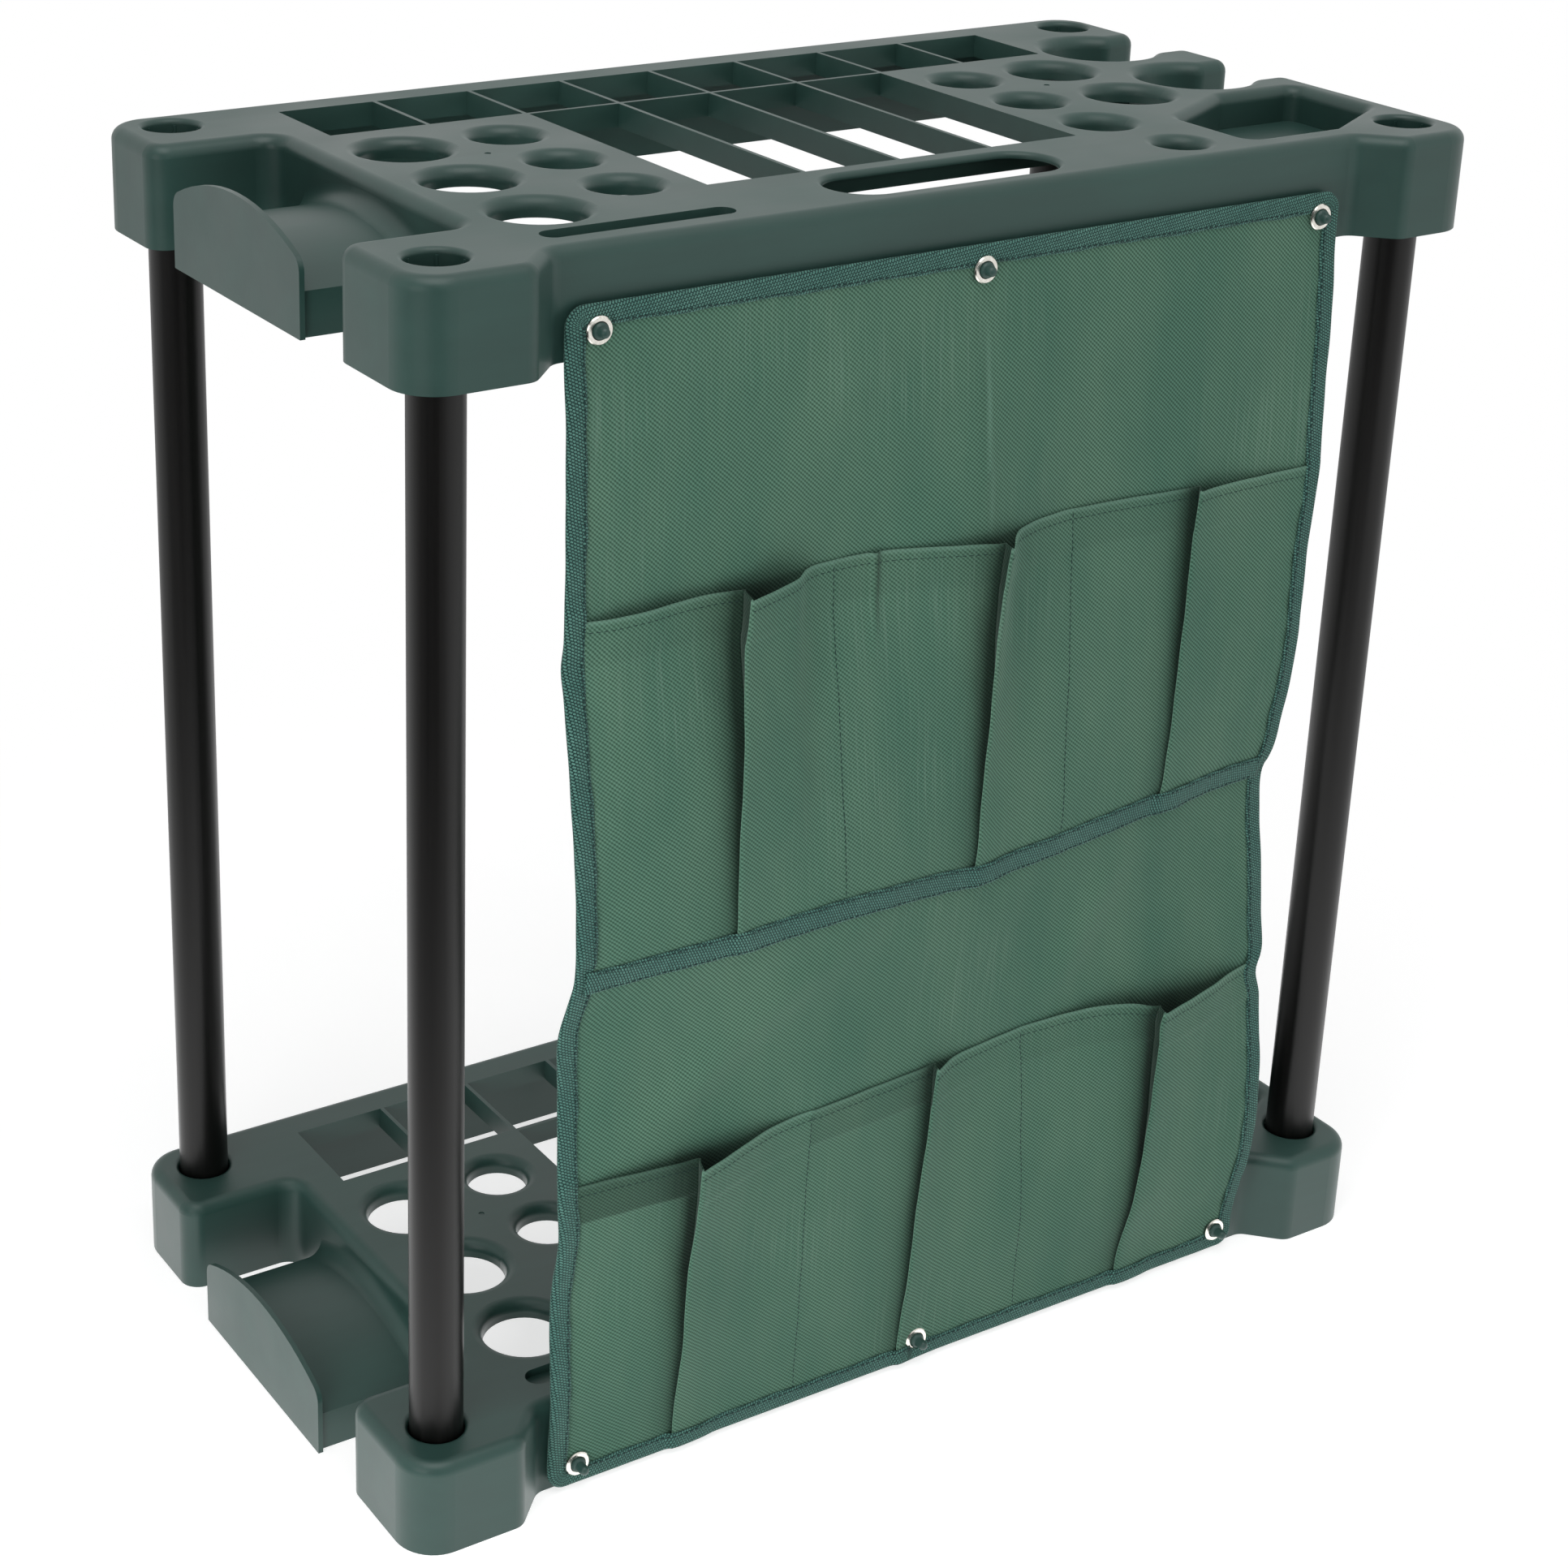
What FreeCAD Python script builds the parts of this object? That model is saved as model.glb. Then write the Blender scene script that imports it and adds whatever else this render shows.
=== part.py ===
"""Freestanding garden tool rack: two moulded racks on four tubes, with a hanging pocket panel.

Millimetres. +X runs along the rack, -Y is the front with the pockets, +Z is up.
Each rack is drawn about the middle of its four tube sockets, from its lower rim upwards.
"""
import math
import os
import re

import FreeCAD
import Part
import Sketcher

os.makedirs("parts", exist_ok=True)
doc = FreeCAD.newDocument("GardenToolRack")

# Driving dimensions, in millimetres unless a name says otherwise
SIZES = {
    # whole stand
    "socket_spacing_length": 525.0,
    "socket_spacing_width": 254.0,
    "rack_pitch": 552.0,
    # rack moulding, outside
    "rack_height": 48.0,
    "left_overhang": 26.5,
    "right_overhang": 22.5,
    "front_overhang": 30.0,
    "back_overhang": 24.0,
    "wall": 3.0,
    "top_round": 6.0,
    "corner_round": 20.0,
    "skirt_setback": 17.5,
    "housing_length": 55.5,
    "right_housing_length": 47.0,
    "housing_round": 9.0,
    # bay with the hose saddle, at the left end
    "bay_depth": 61.0,
    "bay_half_width": 90.0,
    "bay_round": 10.0,
    "saddle_half_width": 60.0,
    "saddle_drop": 14.5,
    "saddle_arc": 140.0,
    "saddle_root_round": 8.0,
    "flange_half_width": 62.5,
    "flange_thickness": 2.5,
    "flange_stand_out": 2.0,
    "flange_round": 8.0,
    # tube sockets and tubes
    "tube_diameter": 25.0,
    "tube_wall": 1.2,
    "tube_end_gap": 0.3,
    "socket_clearance": 0.7,
    "socket_wall": 2.8,
    "stop_ring_thickness": 3.0,
    "stop_ring_width": 2.7,
    "crush_rib_diameter": 1.6,
    "crush_rib_gap": 0.1,
    # handle holes
    "lip_round": 5.5,
    "small_lip": 2.5,
    "lip_margin": 0.3,
    "lip_wall": 2.2,
    "collar_depth": 9.0,
    "large_bore": 41.0,
    "small_bore": 31.0,
    "thin_bore": 23.0,
    "left_large_column": -189.5,
    "left_small_column": -134.5,
    "right_small_column": 130.0,
    "right_large_column": 184.0,
    "left_large_row": 38.0,
    "right_large_row": 40.5,
    "large_row_pitch": 60.0,
    "small_row": 42.0,
    "small_row_pitch": 51.7,
    "thin_column": 136.5,
    "thin_row": -111.5,
    # cells
    "cell_middle": -1.0,
    "cell_pitch": 51.7,
    "cell_rib": 2.2,
    "cell_depth": 11.5,
    "cell_divide": 75.0,
    "back_cell_width": 54.0,
    "long_cell_width": 153.0,
    # handle clips, open at the right end
    "clip_column": 242.0,
    "clip_row": 73.0,
    "clip_pitch": 74.5,
    "clip_bore": 56.0,
    "clip_mouth": 37.0,
    "clip_inner_round": 9.0,
    "clip_tip_round": 7.5,
    # tray, grip, groove and gate marks
    "tray_left": 171.5,
    "tray_right": 270.5,
    "tray_back": -43.5,
    "tray_front": -120.5,
    "tray_back_corner": 223.4,
    "tray_left_corner": -71.3,
    "tray_front_corner": 223.6,
    "tray_right_corner": -94.8,
    "tray_depth": 17.5,
    "tray_round": 6.0,
    "grip_middle": 2.0,
    "grip_row": -107.5,
    "grip_length": 122.0,
    "grip_width": 37.0,
    "groove_middle": -163.0,
    "groove_row": -119.0,
    "groove_length": 94.0,
    "groove_width": 12.0,
    "groove_depth": 4.0,
    "gate_mark_column": 159.5,
    "gate_mark_row": 14.0,
    "gate_mark_diameter": 3.0,
    "gate_mark_depth": 0.4,
    # pegs that carry the pocket panel
    "peg_diameter": 7.4,
    "peg_length": 8.0,
    "peg_drop": 35.0,
    "peg_spacing": 197.0,
    "peg_round": 1.5,
    # cloth panel
    "cloth_gap": 1.3,
    "cloth_thickness": 1.0,
    "tape_thickness": 1.0,
    "tape_width": 9.0,
    "panel_left_reach": 214.0,
    "panel_right_reach": 207.0,
    "panel_corner_round": 6.0,
    "middle_tape_level": 273.5,
    "waist_left": 12.0,
    "waist_right": 7.0,
    "waist_reach": 32.0,
    # pockets
    "upper_mouth_level": 441.0,
    "upper_left_divider": -72.0,
    "upper_right_divider": 58.0,
    "upper_left_pleat": -123.0,
    "upper_middle_pleat": 14.0,
    "upper_right_pleat": 125.0,
    "lower_mouth_level": 170.0,
    "lower_left_divider": -80.0,
    "lower_right_divider": 48.0,
    "lower_left_pleat": -140.0,
    "lower_middle_pleat": -13.0,
    "lower_right_pleat": 128.0,
    "pocket_bulge": 14.0,
    "pocket_foot_bulge": 1.2,
    "pleat_step": 4.0,
    "pleat_foot_step": 0.8,
    # eyelets
    "eyelet_inset": 11.0,
    "eyelet_bore": 8.2,
    "eyelet_wall": 0.6,
    "eyelet_diameter": 12.5,
    "eyelet_rise": 1.0,
    "eyelet_play": 0.1,
    "eyelet_clearance": 0.2,
    "washer_thickness": 0.7,
}

sheet = doc.addObject("Spreadsheet::Sheet", "Sizes")
for line, (alias, amount) in enumerate(SIZES.items(), start=1):
    sheet.set("A%d" % line, alias)
    sheet.set("B%d" % line, str(amount))
    sheet.setAlias("B%d" % line, alias)
doc.recompute()

TOLERANCE = 0.01
FRONTWARD = FreeCAD.Vector(0, -1, 0)
UPWARD = FreeCAD.Vector(0, 0, 1)

# How many there are of what repeats
HANDLE_ROWS = 3
RIGHT_LARGE_ROWS = 2
BACK_CELLS = 8
LONG_CELLS = 4
CRUSH_RIBS = 6

# How far the layers of a pocket bow out between their ends, as a share of the pocket's bulge
BELLY_SHARE = 0.2


def bound(text):
    """Writes the sizes named in an expression as cells of the sheet."""
    return re.sub(r"[a-z_]+", lambda word: "Sizes." * (word.group() in SIZES) + word.group(), text)


def number(text):
    """The present value of an expression, in millimetres."""
    return float(sheet.evalExpression(text))


def plane(body, role):
    return next(f for f in body.Origin.OriginFeatures if f.Role == role)


def new_sketch(body, name, role, lift="0"):
    """A sketch on one of the body's own planes, moved along its normal by lift."""
    sketch = body.newObject("Sketcher::SketchObject", name)
    sketch.AttachmentSupport = [(plane(body, role), "")]
    sketch.MapMode = "FlatFace"
    sketch.setExpression("AttachmentOffset.Base.z", bound(lift))
    return sketch


def pin_point(sketch, geometry, position, across, up):
    """Holds a point of a sketch at two expressions, measured from the sketch's origin."""
    for kind, text in (("DistanceX", across), ("DistanceY", up)):
        index = sketch.addConstraint(Sketcher.Constraint(kind, -1, 1, geometry, position, number(text)))
        sketch.setExpression("Constraints[%d]" % index, bound(text))


def add_polygon(sketch, corners):
    """A closed run of lines whose corners are pairs of expressions."""
    points = [FreeCAD.Vector(number(a), number(b), 0) for a, b in corners]
    first = sketch.GeometryCount
    for here, there in zip(points, points[1:] + points[:1]):
        sketch.addGeometry(Part.LineSegment(here, there), False)
    for step in range(len(points)):
        following = first + (step + 1) % len(points)
        sketch.addConstraint(Sketcher.Constraint("Coincident", first + step, 2, following, 1))
        pin_point(sketch, first + step, 1, *corners[step])


def add_rectangle(sketch, left, right, low, high):
    add_polygon(sketch, [(left, low), (right, low), (right, high), (left, high)])


def add_circle(sketch, across, up, diameter):
    centre = FreeCAD.Vector(number(across), number(up), 0)
    index = sketch.addGeometry(Part.Circle(centre, UPWARD, number(diameter) / 2), False)
    pin_point(sketch, index, 3, across, up)
    ring = sketch.addConstraint(Sketcher.Constraint("Diameter", index, number(diameter)))
    sketch.setExpression("Constraints[%d]" % ring, bound(diameter))


def pad(body, sketch, name, length, reverse=False):
    feature = body.newObject("PartDesign::Pad", name)
    feature.Profile = sketch
    feature.setExpression("Length", bound(length))
    feature.Reversed = reverse
    doc.recompute()
    return feature


def pocket(body, sketch, name, length, reverse=False):
    """Cuts a sketch into the body and checks that material really left."""
    before = body.Shape.Volume
    feature = body.newObject("PartDesign::Pocket", name)
    feature.Profile = sketch
    feature.setExpression("Length", bound(length))
    feature.Reversed = reverse
    doc.recompute()
    if not body.Shape.Volume < before - TOLERANCE:
        raise RuntimeError(name + " cut nothing")
    return feature


def round_edges(body, name, radius, chosen):
    """Rounds the edges of the body's present shape that the test picks out."""
    base = body.Tip
    names = ["Edge%d" % (i + 1) for i, edge in enumerate(base.Shape.Edges) if chosen(edge)]
    if not names:
        raise RuntimeError(name + " found no edge")
    feature = body.newObject("PartDesign::Fillet", name)
    feature.Base = (base, names)
    feature.setExpression("Radius", bound(radius))
    doc.recompute()
    return feature


def upright_at(places):
    """A test for vertical edges that stand at one of the places, given as pairs of expressions."""
    spots = [(number(a), number(b)) for a, b in places]

    def test(edge):
        box = edge.BoundBox
        if box.XLength > TOLERANCE or box.YLength > TOLERANCE:
            return False
        return any(abs(box.XMin - x) < TOLERANCE and abs(box.YMin - y) < TOLERANCE for x, y in spots)
    return test


def level_at(height):
    """A test for edges that lie wholly at one height."""
    z = number(height)

    def test(edge):
        box = edge.BoundBox
        return abs(box.ZMin - z) < TOLERANCE and abs(box.ZMax - z) < TOLERANCE
    return test


# Outline corners, from the middle of the sockets
LEFT = "-1 * socket_spacing_length / 2 - left_overhang"
RIGHT = "socket_spacing_length / 2 + right_overhang"
FRONT = "-1 * socket_spacing_width / 2 - front_overhang"
BACK = "socket_spacing_width / 2 + back_overhang"
SKIRT = FRONT + " + skirt_setback"
BAY_END = LEFT + " + bay_depth"
SOCKETS = [(sx + " * socket_spacing_length / 2", sy + " * socket_spacing_width / 2")
           for sx in ("-1", "1") for sy in ("-1", "1")]


def add_outline(body):
    """The solid block of a rack, with its rounded corners, before anything is cut out."""
    left_step = LEFT + " + housing_length"
    right_step = RIGHT + " - right_housing_length"
    outer = [(LEFT, FRONT), (RIGHT, FRONT), (RIGHT, BACK), (LEFT, BACK)]
    bay_mouth = [(LEFT, "bay_half_width"), (LEFT, "-1 * bay_half_width")]
    bay_back = [(BAY_END, "bay_half_width"), (BAY_END, "-1 * bay_half_width")]
    steps = [(left_step, FRONT), (left_step + " + skirt_setback", SKIRT),
             (right_step + " - skirt_setback", SKIRT), (right_step, FRONT)]
    corners = [outer[0]] + steps + outer[1:] + [bay_mouth[0]] + bay_back + [bay_mouth[1]]
    sketch = new_sketch(body, "outline", "XY_Plane")
    add_polygon(sketch, corners)
    pad(body, sketch, "block", "rack_height")
    round_edges(body, "outer_corners", "corner_round", upright_at(outer))
    round_edges(body, "bay_corners", "bay_round", upright_at(bay_mouth + bay_back))
    round_edges(body, "step_corners", "housing_round", upright_at(steps))


def cut_clips(body):
    """The two C-shaped handle clips that open at the right end."""
    rows = ["clip_row", "clip_row - clip_pitch"]
    mouths = new_sketch(body, "clip_mouths", "XY_Plane")
    for row in rows:
        add_rectangle(mouths, "clip_column", RIGHT + " + corner_round",
                      row + " - clip_mouth / 2", row + " + clip_mouth / 2")
    pocket(body, mouths, "mouths", "rack_height", reverse=True)
    tips = [(RIGHT, row + side + "clip_mouth / 2") for row in rows for side in (" - ", " + ")]
    round_edges(body, "clip_tips", "clip_tip_round", upright_at(tips))
    bores = new_sketch(body, "clip_bores", "XY_Plane")
    for row in rows:
        add_circle(bores, "clip_column", row, "clip_bore")
    pocket(body, bores, "bores", "rack_height", reverse=True)
    reach = math.sqrt(number("clip_bore") ** 2 - number("clip_mouth") ** 2) / 2
    lips = [(repr(number("clip_column") + reach), row + side + "clip_mouth / 2")
            for row in rows for side in (" - ", " + ")]
    round_edges(body, "clip_lips", "clip_inner_round", upright_at(lips))


# Outlines of the cells, and what lies under the plate
CELL_LEFT = "cell_middle - %g * cell_pitch" % (BACK_CELLS / 2)
CELL_RIGHT = "cell_middle + %g * cell_pitch" % (BACK_CELLS / 2)
LONG_LEFT = "cell_middle - %g * cell_pitch" % (LONG_CELLS / 2)
LONG_RIGHT = "cell_middle + %g * cell_pitch" % (LONG_CELLS / 2)
CELL_BACK = "cell_divide + back_cell_width + cell_rib / 2"
LONG_FRONT = "cell_divide - long_cell_width - cell_rib / 2"
UNDER_PLATE = "rack_height - wall / 2"
SOCKET_BORE = "tube_diameter + 2 * socket_clearance"
SOCKET_MARGIN = "right_overhang - top_round - (%s) / 2 - lip_margin" % SOCKET_BORE
SMALL_LIP = "min(small_lip; wall - lip_margin; %s)" % SOCKET_MARGIN


def handle_holes():
    """Column, row and bore of every round handle hole."""
    holes = []
    for step in range(HANDLE_ROWS):
        large = " - %d * large_row_pitch" % step
        small = " - %d * small_row_pitch" % step
        holes.append(("left_large_column", "left_large_row" + large, "large_bore"))
        holes.append(("left_small_column", "small_row" + small, "small_bore"))
        holes.append(("right_small_column", "small_row" + small, "small_bore"))
        if step < RIGHT_LARGE_ROWS:
            holes.append(("right_large_column", "right_large_row" + large, "large_bore"))
    holes.append(("thin_column", "thin_row", "thin_bore"))
    return holes


def mitre(reach, rise, grow):
    """How far a slanted side's ends slide when every side moves out: on the upright and the level side."""
    slant = "sqrt((%s) ^ 2 + (%s) ^ 2)" % (reach, rise)
    return ("(%s) * (%s - (%s)) / (%s)" % (grow, slant, rise, reach),
            "(%s) * (%s - (%s)) / (%s)" % (grow, slant, reach, rise))


def tray_corners(grow="0"):
    """The tray's six corners, moved outwards by grow on every side."""
    left, right = "tray_left - (%s)" % grow, "tray_right + (%s)" % grow
    front, back = "tray_front - (%s)" % grow, "tray_back + (%s)" % grow
    up, inward = mitre("tray_back_corner - tray_left", "tray_back - tray_left_corner", grow)
    down, outward = mitre("tray_right - tray_front_corner", "tray_right_corner - tray_front", grow)
    return [(left, "tray_left_corner + " + up), (left, front), ("tray_front_corner + " + outward, front),
            (right, "tray_right_corner - " + down), (right, back), ("tray_back_corner - " + inward, back)]


def add_slot(sketch, middle, row, length, width):
    """A slot with round ends, lying along the first axis of the sketch."""
    radius = number(width) / 2
    reach = "(%s) / 2 - (%s) / 2" % (length, width)
    low = "%s - (%s) / 2" % (row, width)
    high = "%s + (%s) / 2" % (row, width)
    ends = []
    for side, start, begin, finish in (("+", -90, low, high), ("-", 90, high, low)):
        across = "%s %s (%s)" % (middle, side, reach)
        circle = Part.Circle(FreeCAD.Vector(number(across), number(row), 0), UPWARD, radius)
        arc = Part.ArcOfCircle(circle, math.radians(start), math.radians(start + 180))
        index = sketch.addGeometry(arc, False)
        pin_point(sketch, index, 3, across, row)
        pin_point(sketch, index, 1, across, begin)
        place = sketch.addConstraint(Sketcher.Constraint("DistanceX", -1, 1, index, 2, number(across)))
        sketch.setExpression("Constraints[%d]" % place, bound(across))
        ends.append((index, across, begin, finish))
    for here, there in (ends, ends[::-1]):
        begin = FreeCAD.Vector(number(here[1]), number(here[3]), 0)
        finish = FreeCAD.Vector(number(there[1]), number(there[2]), 0)
        line = sketch.addGeometry(Part.LineSegment(begin, finish), False)
        sketch.addConstraint(Sketcher.Constraint("Coincident", line, 1, here[0], 2))
        sketch.addConstraint(Sketcher.Constraint("Coincident", line, 2, there[0], 1))


def add_arch(sketch, half_width, crown, radius, foot, inner=None):
    """A round-topped profile on two legs, or the band between two of them when inner is its wall."""
    rings = [(half_width, crown, radius)]
    if inner:
        rings.append((half_width + " - " + inner, crown + " - " + inner, radius + " - " + inner))
    feet = []
    for width, top, bend in rings:
        side = "%s - (%s) + sqrt((%s) ^ 2 - (%s) ^ 2)" % (top, bend, bend, width)
        reach = math.asin(number(width) / number(bend))
        middle = FreeCAD.Vector(0, number(top) - number(bend), 0)
        circle = Part.Circle(middle, UPWARD, number(bend))
        arc = sketch.addGeometry(Part.ArcOfCircle(circle, math.pi / 2 - reach, math.pi / 2 + reach), False)
        pin_point(sketch, arc, 1, width, side)
        pin_point(sketch, arc, 2, "-1 * (%s)" % width, side)
        size = sketch.addConstraint(Sketcher.Constraint("Radius", arc, number(bend)))
        sketch.setExpression("Constraints[%d]" % size, bound(bend))
        legs = []
        for sign, position in (("1", 1), ("-1", 2)):
            across = "%s * (%s)" % (sign, width)
            low = FreeCAD.Vector(number(across), number(foot), 0)
            high = FreeCAD.Vector(number(across), number(side), 0)
            leg = sketch.addGeometry(Part.LineSegment(low, high), False)
            sketch.addConstraint(Sketcher.Constraint("Coincident", leg, 2, arc, position))
            pin_point(sketch, leg, 1, across, foot)
            legs.append((leg, low))
        feet.append(legs)
    pairs = [(feet[0][side], feet[1][side]) for side in (0, 1)] if inner else [tuple(feet[0])]
    for (first, start), (second, end) in pairs:
        sole = sketch.addGeometry(Part.LineSegment(start, end), False)
        sketch.addConstraint(Sketcher.Constraint("Coincident", sole, 1, first, 1))
        sketch.addConstraint(Sketcher.Constraint("Coincident", sole, 2, second, 1))


def hollow_out(body):
    """Opens the block from below and leaves its wall all round."""
    base = body.Tip
    soles = ["Face%d" % (i + 1) for i, face in enumerate(base.Shape.Faces)
             if face.BoundBox.ZMax < TOLERANCE]
    shell = body.newObject("PartDesign::Thickness", "shell")
    shell.Base = (base, soles)
    shell.setExpression("Value", "Sizes.wall")
    shell.Reversed = True
    doc.recompute()


def add_under_plate(body):
    """The collars, sleeves and boxes that stand down from the plate."""
    collars = new_sketch(body, "collar_rings", "XY_Plane", UNDER_PLATE)
    for column, row, bore in handle_holes():
        add_circle(collars, column, row, bore + " + 2 * lip_wall")
    pad(body, collars, "collars", "collar_depth - wall / 2", reverse=True)
    sleeves = new_sketch(body, "sleeve_rings", "XY_Plane")
    for column, row in SOCKETS:
        add_circle(sleeves, column, row, SOCKET_BORE + " + 2 * socket_wall")
    pad(body, sleeves, "sleeves", UNDER_PLATE)
    grid = new_sketch(body, "cell_block", "XY_Plane", UNDER_PLATE)
    add_polygon(grid, [(LONG_LEFT + " - wall", LONG_FRONT + " - wall"),
                       (LONG_RIGHT + " + wall", LONG_FRONT + " - wall"),
                       (LONG_RIGHT + " + wall", "cell_divide - wall"),
                       (CELL_RIGHT + " + wall", "cell_divide - wall"),
                       (CELL_RIGHT + " + wall", CELL_BACK + " + wall"),
                       (CELL_LEFT + " - wall", CELL_BACK + " + wall"),
                       (CELL_LEFT + " - wall", "cell_divide - wall"),
                       (LONG_LEFT + " - wall", "cell_divide - wall")])
    pad(body, grid, "cell_walls", "cell_depth - wall / 2", reverse=True)
    tray = new_sketch(body, "tray_block", "XY_Plane", UNDER_PLATE)
    add_polygon(tray, tray_corners("wall"))
    pad(body, tray, "tray_box", "tray_depth + wall / 2", reverse=True)
    groove = new_sketch(body, "groove_block", "XY_Plane", UNDER_PLATE)
    add_slot(groove, "groove_middle", "groove_row", "groove_length + 2 * wall", "groove_width + 2 * wall")
    pad(body, groove, "groove_box", "groove_depth + wall / 2", reverse=True)


def cut_openings(body):
    """Everything that is cut into the plate from above."""
    through = new_sketch(body, "through_frames", "XY_Plane", "rack_height")
    for column, row, bore in handle_holes():
        add_circle(through, column, row, bore)
    for column, row in SOCKETS:
        add_circle(through, column, row, SOCKET_BORE)
    for step in range(BACK_CELLS):
        left = CELL_LEFT + " + %d * cell_pitch + cell_rib / 2" % step
        add_rectangle(through, left, left + " + cell_pitch - cell_rib",
                      "cell_divide + cell_rib / 2", CELL_BACK)
    for step in range(LONG_CELLS):
        left = LONG_LEFT + " + %d * cell_pitch + cell_rib / 2" % step
        add_rectangle(through, left, left + " + cell_pitch - cell_rib",
                      LONG_FRONT, "cell_divide - cell_rib / 2")
    add_slot(through, "grip_middle", "grip_row", "grip_length", "grip_width")
    pocket(body, through, "through_openings", "rack_height")
    tray = new_sketch(body, "tray_frame", "XY_Plane", "rack_height")
    add_polygon(tray, tray_corners())
    pocket(body, tray, "tray", "tray_depth")
    round_edges(body, "tray_corners", "tray_round", upright_at(tray_corners()))
    groove = new_sketch(body, "groove_frame", "XY_Plane", "rack_height")
    add_slot(groove, "groove_middle", "groove_row", "groove_length", "groove_width")
    pocket(body, groove, "groove", "groove_depth")
    marks = new_sketch(body, "gate_marks", "XY_Plane", "rack_height")
    for side in ("-1 * ", "1 * "):
        add_circle(marks, side + "gate_mark_column", "gate_mark_row", "gate_mark_diameter")
    pocket(body, marks, "gates", "gate_mark_depth")


def round_lips(body):
    """The soft lips of the holes and the tray, and the small ones of the grip and the sockets."""
    soft = [frame_round(column, row, bore, bore) for column, row, bore in handle_holes()]
    soft.append(("tray_left", "tray_right", "tray_front", "tray_back"))
    round_edges(body, "soft_lips", "lip_round", level_in(soft))
    small = [frame_round(column, row, SOCKET_BORE, SOCKET_BORE) for column, row in SOCKETS]
    small.append(frame_round("grip_middle", "grip_row", "grip_length", "grip_width"))
    round_edges(body, "small_lips", SMALL_LIP, level_in(small))


def frame_round(column, row, width, depth):
    """The frame, left, right, low and high, that encloses an opening."""
    return ("%s - (%s) / 2" % (column, width), "%s + (%s) / 2" % (column, width),
            "%s - (%s) / 2" % (row, depth), "%s + (%s) / 2" % (row, depth))


def level_in(frames):
    """A test for edges of the top face that lie within one of the frames."""
    z = number("rack_height")
    rooms = [[number(side) for side in frame] for frame in frames]

    def test(edge):
        box = edge.BoundBox
        if abs(box.ZMin - z) > TOLERANCE or abs(box.ZMax - z) > TOLERANCE:
            return False
        slack = 0.1
        return any(box.XMin > left - slack and box.XMax < right + slack
                   and box.YMin > low - slack and box.YMax < high + slack
                   for left, right, low, high in rooms)
    return test


def add_saddle(body):
    """The arched hose saddle in the bay, and the flange that closes its outer end."""
    saddle = new_sketch(body, "saddle_profile", "YZ_Plane", LEFT + " - flange_stand_out")
    add_arch(saddle, "saddle_half_width", "rack_height - saddle_drop", "saddle_arc", "0", "wall")
    pad(body, saddle, "saddle", "bay_depth + flange_stand_out + wall / 2")
    wall_face = number(BAY_END)
    low = number("rack_height / 4")

    def root(edge):
        box = edge.BoundBox
        return (abs(box.XMin - wall_face) < TOLERANCE and abs(box.XMax - wall_face) < TOLERANCE
                and box.ZMin > low and box.YLength > number("saddle_half_width")
                and box.ZMax > number("rack_height - saddle_drop - wall / 2"))
    round_edges(body, "saddle_root", "saddle_root_round", root)
    flange = new_sketch(body, "flange_profile", "YZ_Plane", LEFT + " - flange_stand_out")
    add_arch(flange, "flange_half_width", "rack_height", "saddle_arc", "0")
    pad(body, flange, "flange", "flange_thickness")
    outer_face = number(LEFT + " - flange_stand_out")
    shoulder = number("flange_half_width")

    def shoulders(edge):
        box = edge.BoundBox
        return (box.YLength < TOLERANCE and box.ZLength < TOLERANCE
                and abs(box.XMin - outer_face) < TOLERANCE
                and abs(abs(box.YMin) - shoulder) < TOLERANCE and box.ZMin > low)
    round_edges(body, "flange_shoulders", "flange_round", shoulders)


def add_socket_details(body):
    """The ring that stops each tube and the crush ribs that grip it."""
    rings = new_sketch(body, "stop_rings", "XY_Plane", "rack_height / 2 - stop_ring_thickness / 2")
    for column, row in SOCKETS:
        add_circle(rings, column, row, SOCKET_BORE + " + socket_wall")
        add_circle(rings, column, row, SOCKET_BORE + " - 2 * stop_ring_width")
    pad(body, rings, "stops", "stop_ring_thickness")
    ribs = new_sketch(body, "crush_ribs", "XY_Plane")
    reach = "(tube_diameter / 2 + crush_rib_gap + crush_rib_diameter / 2)"
    for column, row in SOCKETS:
        for turn in range(0, 360, 360 // CRUSH_RIBS):
            across = "%s + %.6f * %s" % (column, math.cos(math.radians(turn)), reach)
            up = "%s + %.6f * %s" % (row, math.sin(math.radians(turn)), reach)
            add_circle(ribs, across, up, "crush_rib_diameter")
    pad(body, ribs, "ribs", "rack_height - wall")


def add_pegs(body):
    """The three pegs on the front skirt that the panel's eyelets hang on."""
    pegs = new_sketch(body, "peg_rings", "XZ_Plane", "-1 * (%s) - wall / 2" % SKIRT)
    for side in ("-1", "0", "1"):
        add_circle(pegs, side + " * peg_spacing", "rack_height - peg_drop", "peg_diameter")
    pad(body, pegs, "pegs", "peg_length + wall / 2")
    tip = number(SKIRT + " - peg_length")

    def tips(edge):
        box = edge.BoundBox
        return abs(box.YMin - tip) < TOLERANCE and abs(box.YMax - tip) < TOLERANCE
    round_edges(body, "peg_tips", "peg_round", tips)


def make_rack(label, lift):
    body = doc.addObject("PartDesign::Body", label)
    body.Label = label
    add_outline(body)
    cut_clips(body)
    round_edges(body, "top_edge", "top_round", level_at("rack_height"))
    hollow_out(body)
    add_saddle(body)
    add_pegs(body)
    add_under_plate(body)
    cut_openings(body)
    round_lips(body)
    add_socket_details(body)
    place(body, "0", "0", lift)
    return body


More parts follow.
